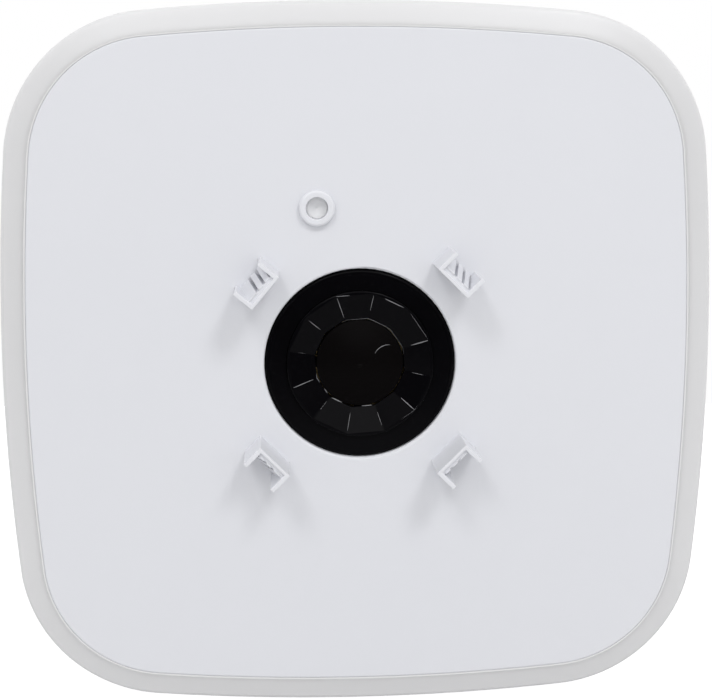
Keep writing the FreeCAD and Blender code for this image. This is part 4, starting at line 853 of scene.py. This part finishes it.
def softenEdges(node):
    piece = nodes[node]
    weld = piece.modifiers.new("weld", "WELD")
    weld.merge_threshold = edgeShape["weld"]
    marker = piece.modifiers.new("markEdges", "NODES")
    marker.node_group = makeEdgeMarker()
    bevel = piece.modifiers.new("softEdge", "BEVEL")
    bevel.width = edgeShape["width"]
    bevel.segments = edgeShape["segments"]
    bevel.limit_method = "WEIGHT"
    bevel.use_clamp_overlap = False
    keepFacets(piece)


softenEdges("front_panel")
print("pieces made")


# floor and light
white = (1, 1, 1, 1)
lightLook = {
    "floorRadius": 0.52, "floorSides": 96, "floorDrop": 0.016,
    "floorTone": (0.69, 0.69, 0.69), "floorGlow": 0.62,
    "fill": 0.765, "room": 0.02, "behindEdge": (-0.15, 0.25), "ceiling": 0.7, "ceilingEdge": (0.25, 0.9),
    "pane": 1.9, "paneWay": (0.06, -0.89, 0.45), "paneEdge": (0.90, 0.985),
    "lampSide": 0.324, "lampUp": 0.694, "lampOut": 0.643, "lampAway": 2.0,
    "lampSize": 0.5, "leftPower": 6.5, "rightPower": 8.7,
    "tubePlace": (0.42, -0.95, 0.14), "tubeTurn": 35.0, "tubeSize": (0.42, 0.03), "tubePower": 0.12,
}


def makeFloor():
    mesh = bpy.data.meshes.new("floor")
    build = bmesh.new()
    sides, radius = lightLook["floorSides"], lightLook["floorRadius"]
    bmesh.ops.create_circle(build, cap_ends=True, segments=sides, radius=radius)
    level = cadBox[0][2] - lightLook["floorDrop"]  # low enough for the siren's corner as it twists
    bmesh.ops.translate(build, verts=build.verts, vec=(0, 0, level))
    build.to_mesh(mesh)
    build.free()
    floor = bpy.data.objects.new("floor", mesh)
    scene.collection.objects.link(floor)
    material, tree = openMaterial("floorPaint")
    paint = tree.nodes.new("ShaderNodeBsdfDiffuse")
    paint.inputs["Color"].default_value = (*lightLook["floorTone"], 1)
    glow = tree.nodes.new("ShaderNodeEmission")
    glow.inputs["Color"].default_value = white
    seen = seenStraight(tree, tree.nodes.new("ShaderNodeLightPath"))
    link(tree, maths(tree, "MULTIPLY", seen, lightLook["floorGlow"]), glow.inputs["Strength"])
    both = tree.nodes.new("ShaderNodeAddShader")
    link(tree, paint.outputs[0], both.inputs[0])
    link(tree, glow.outputs[0], both.inputs[1])
    closeMaterial(tree, both)
    mesh.materials.append(material)


def areaLamp(name, shape, power, location):
    lamp = bpy.data.objects.new(name, bpy.data.lights.new(name, "AREA"))
    scene.collection.objects.link(lamp)
    lamp.data.shape = shape
    lamp.data.energy = power
    lamp.location = location
    return lamp


def makeLamps():
    for name, side, power in (("lampLeft", -1, "leftPower"), ("lampRight", 1, "rightPower")):
        towards = Vector((side * lightLook["lampSide"], -lightLook["lampOut"], lightLook["lampUp"]))
        lamp = areaLamp(name, "DISK", lightLook[power], towards * lightLook["lampAway"])
        lamp.data.size = lightLook["lampSize"]
        lamp.rotation_euler = towards.to_track_quat("Z", "Y").to_euler()


def makeTube():
    lamp = areaLamp("tube", "RECTANGLE", lightLook["tubePower"], lightLook["tubePlace"])
    lamp.data.size, lamp.data.size_y = lightLook["tubeSize"]
    aim = Vector(lightLook["tubePlace"]).to_track_quat("Z", "Y").to_matrix()
    spin = Euler((0, 0, math.radians(lightLook["tubeTurn"]))).to_matrix()
    lamp.rotation_euler = (aim @ spin).to_euler()


def makeWorld():
    world = bpy.data.worlds.new("studio")
    scene.world = world
    world.use_nodes = True
    tree = world.node_tree
    tree.nodes.clear()
    path = tree.nodes.new("ShaderNodeLightPath")
    way = tree.nodes.new("ShaderNodeTexCoord").outputs["Generated"]
    # in mirrors: white behind the siren, a dim room before it, pale above, and a bright pane high in front
    behind = ramp(tree, axes(tree, way)["Y"], *lightLook["behindEdge"])
    above = ramp(tree, axes(tree, way)["Z"], *lightLook["ceilingEdge"])
    towards = dotProduct(tree, way, Vector(lightLook["paneWay"]).normalized())
    pane = ramp(tree, towards, *lightLook["paneEdge"])
    bright = maths(tree, "MAXIMUM", maths(tree, "MULTIPLY", above, lightLook["ceiling"]),
                   maths(tree, "MULTIPLY", pane, lightLook["pane"]))
    mirrored = maths(tree, "MAXIMUM", maths(tree, "MAXIMUM", behind, bright), lightLook["room"])
    seen = seenStraight(tree, path)
    mirror = maths(tree, "MULTIPLY", path.outputs["Is Glossy Ray"], mirrored)
    other = maths(tree, "SUBTRACT", 1.0, maths(tree, "MAXIMUM", seen, path.outputs["Is Glossy Ray"]))
    fill = maths(tree, "MULTIPLY", other, lightLook["fill"])
    strength = maths(tree, "ADD", maths(tree, "ADD", seen, mirror), fill)
    light = tree.nodes.new("ShaderNodeBackground")
    light.inputs["Color"].default_value = white
    link(tree, strength, light.inputs["Strength"])
    link(tree, light.outputs[0], tree.nodes.new("ShaderNodeOutputWorld").inputs["Surface"])


makeFloor()
makeLamps()
makeTube()
makeWorld()
print("floor and light set")
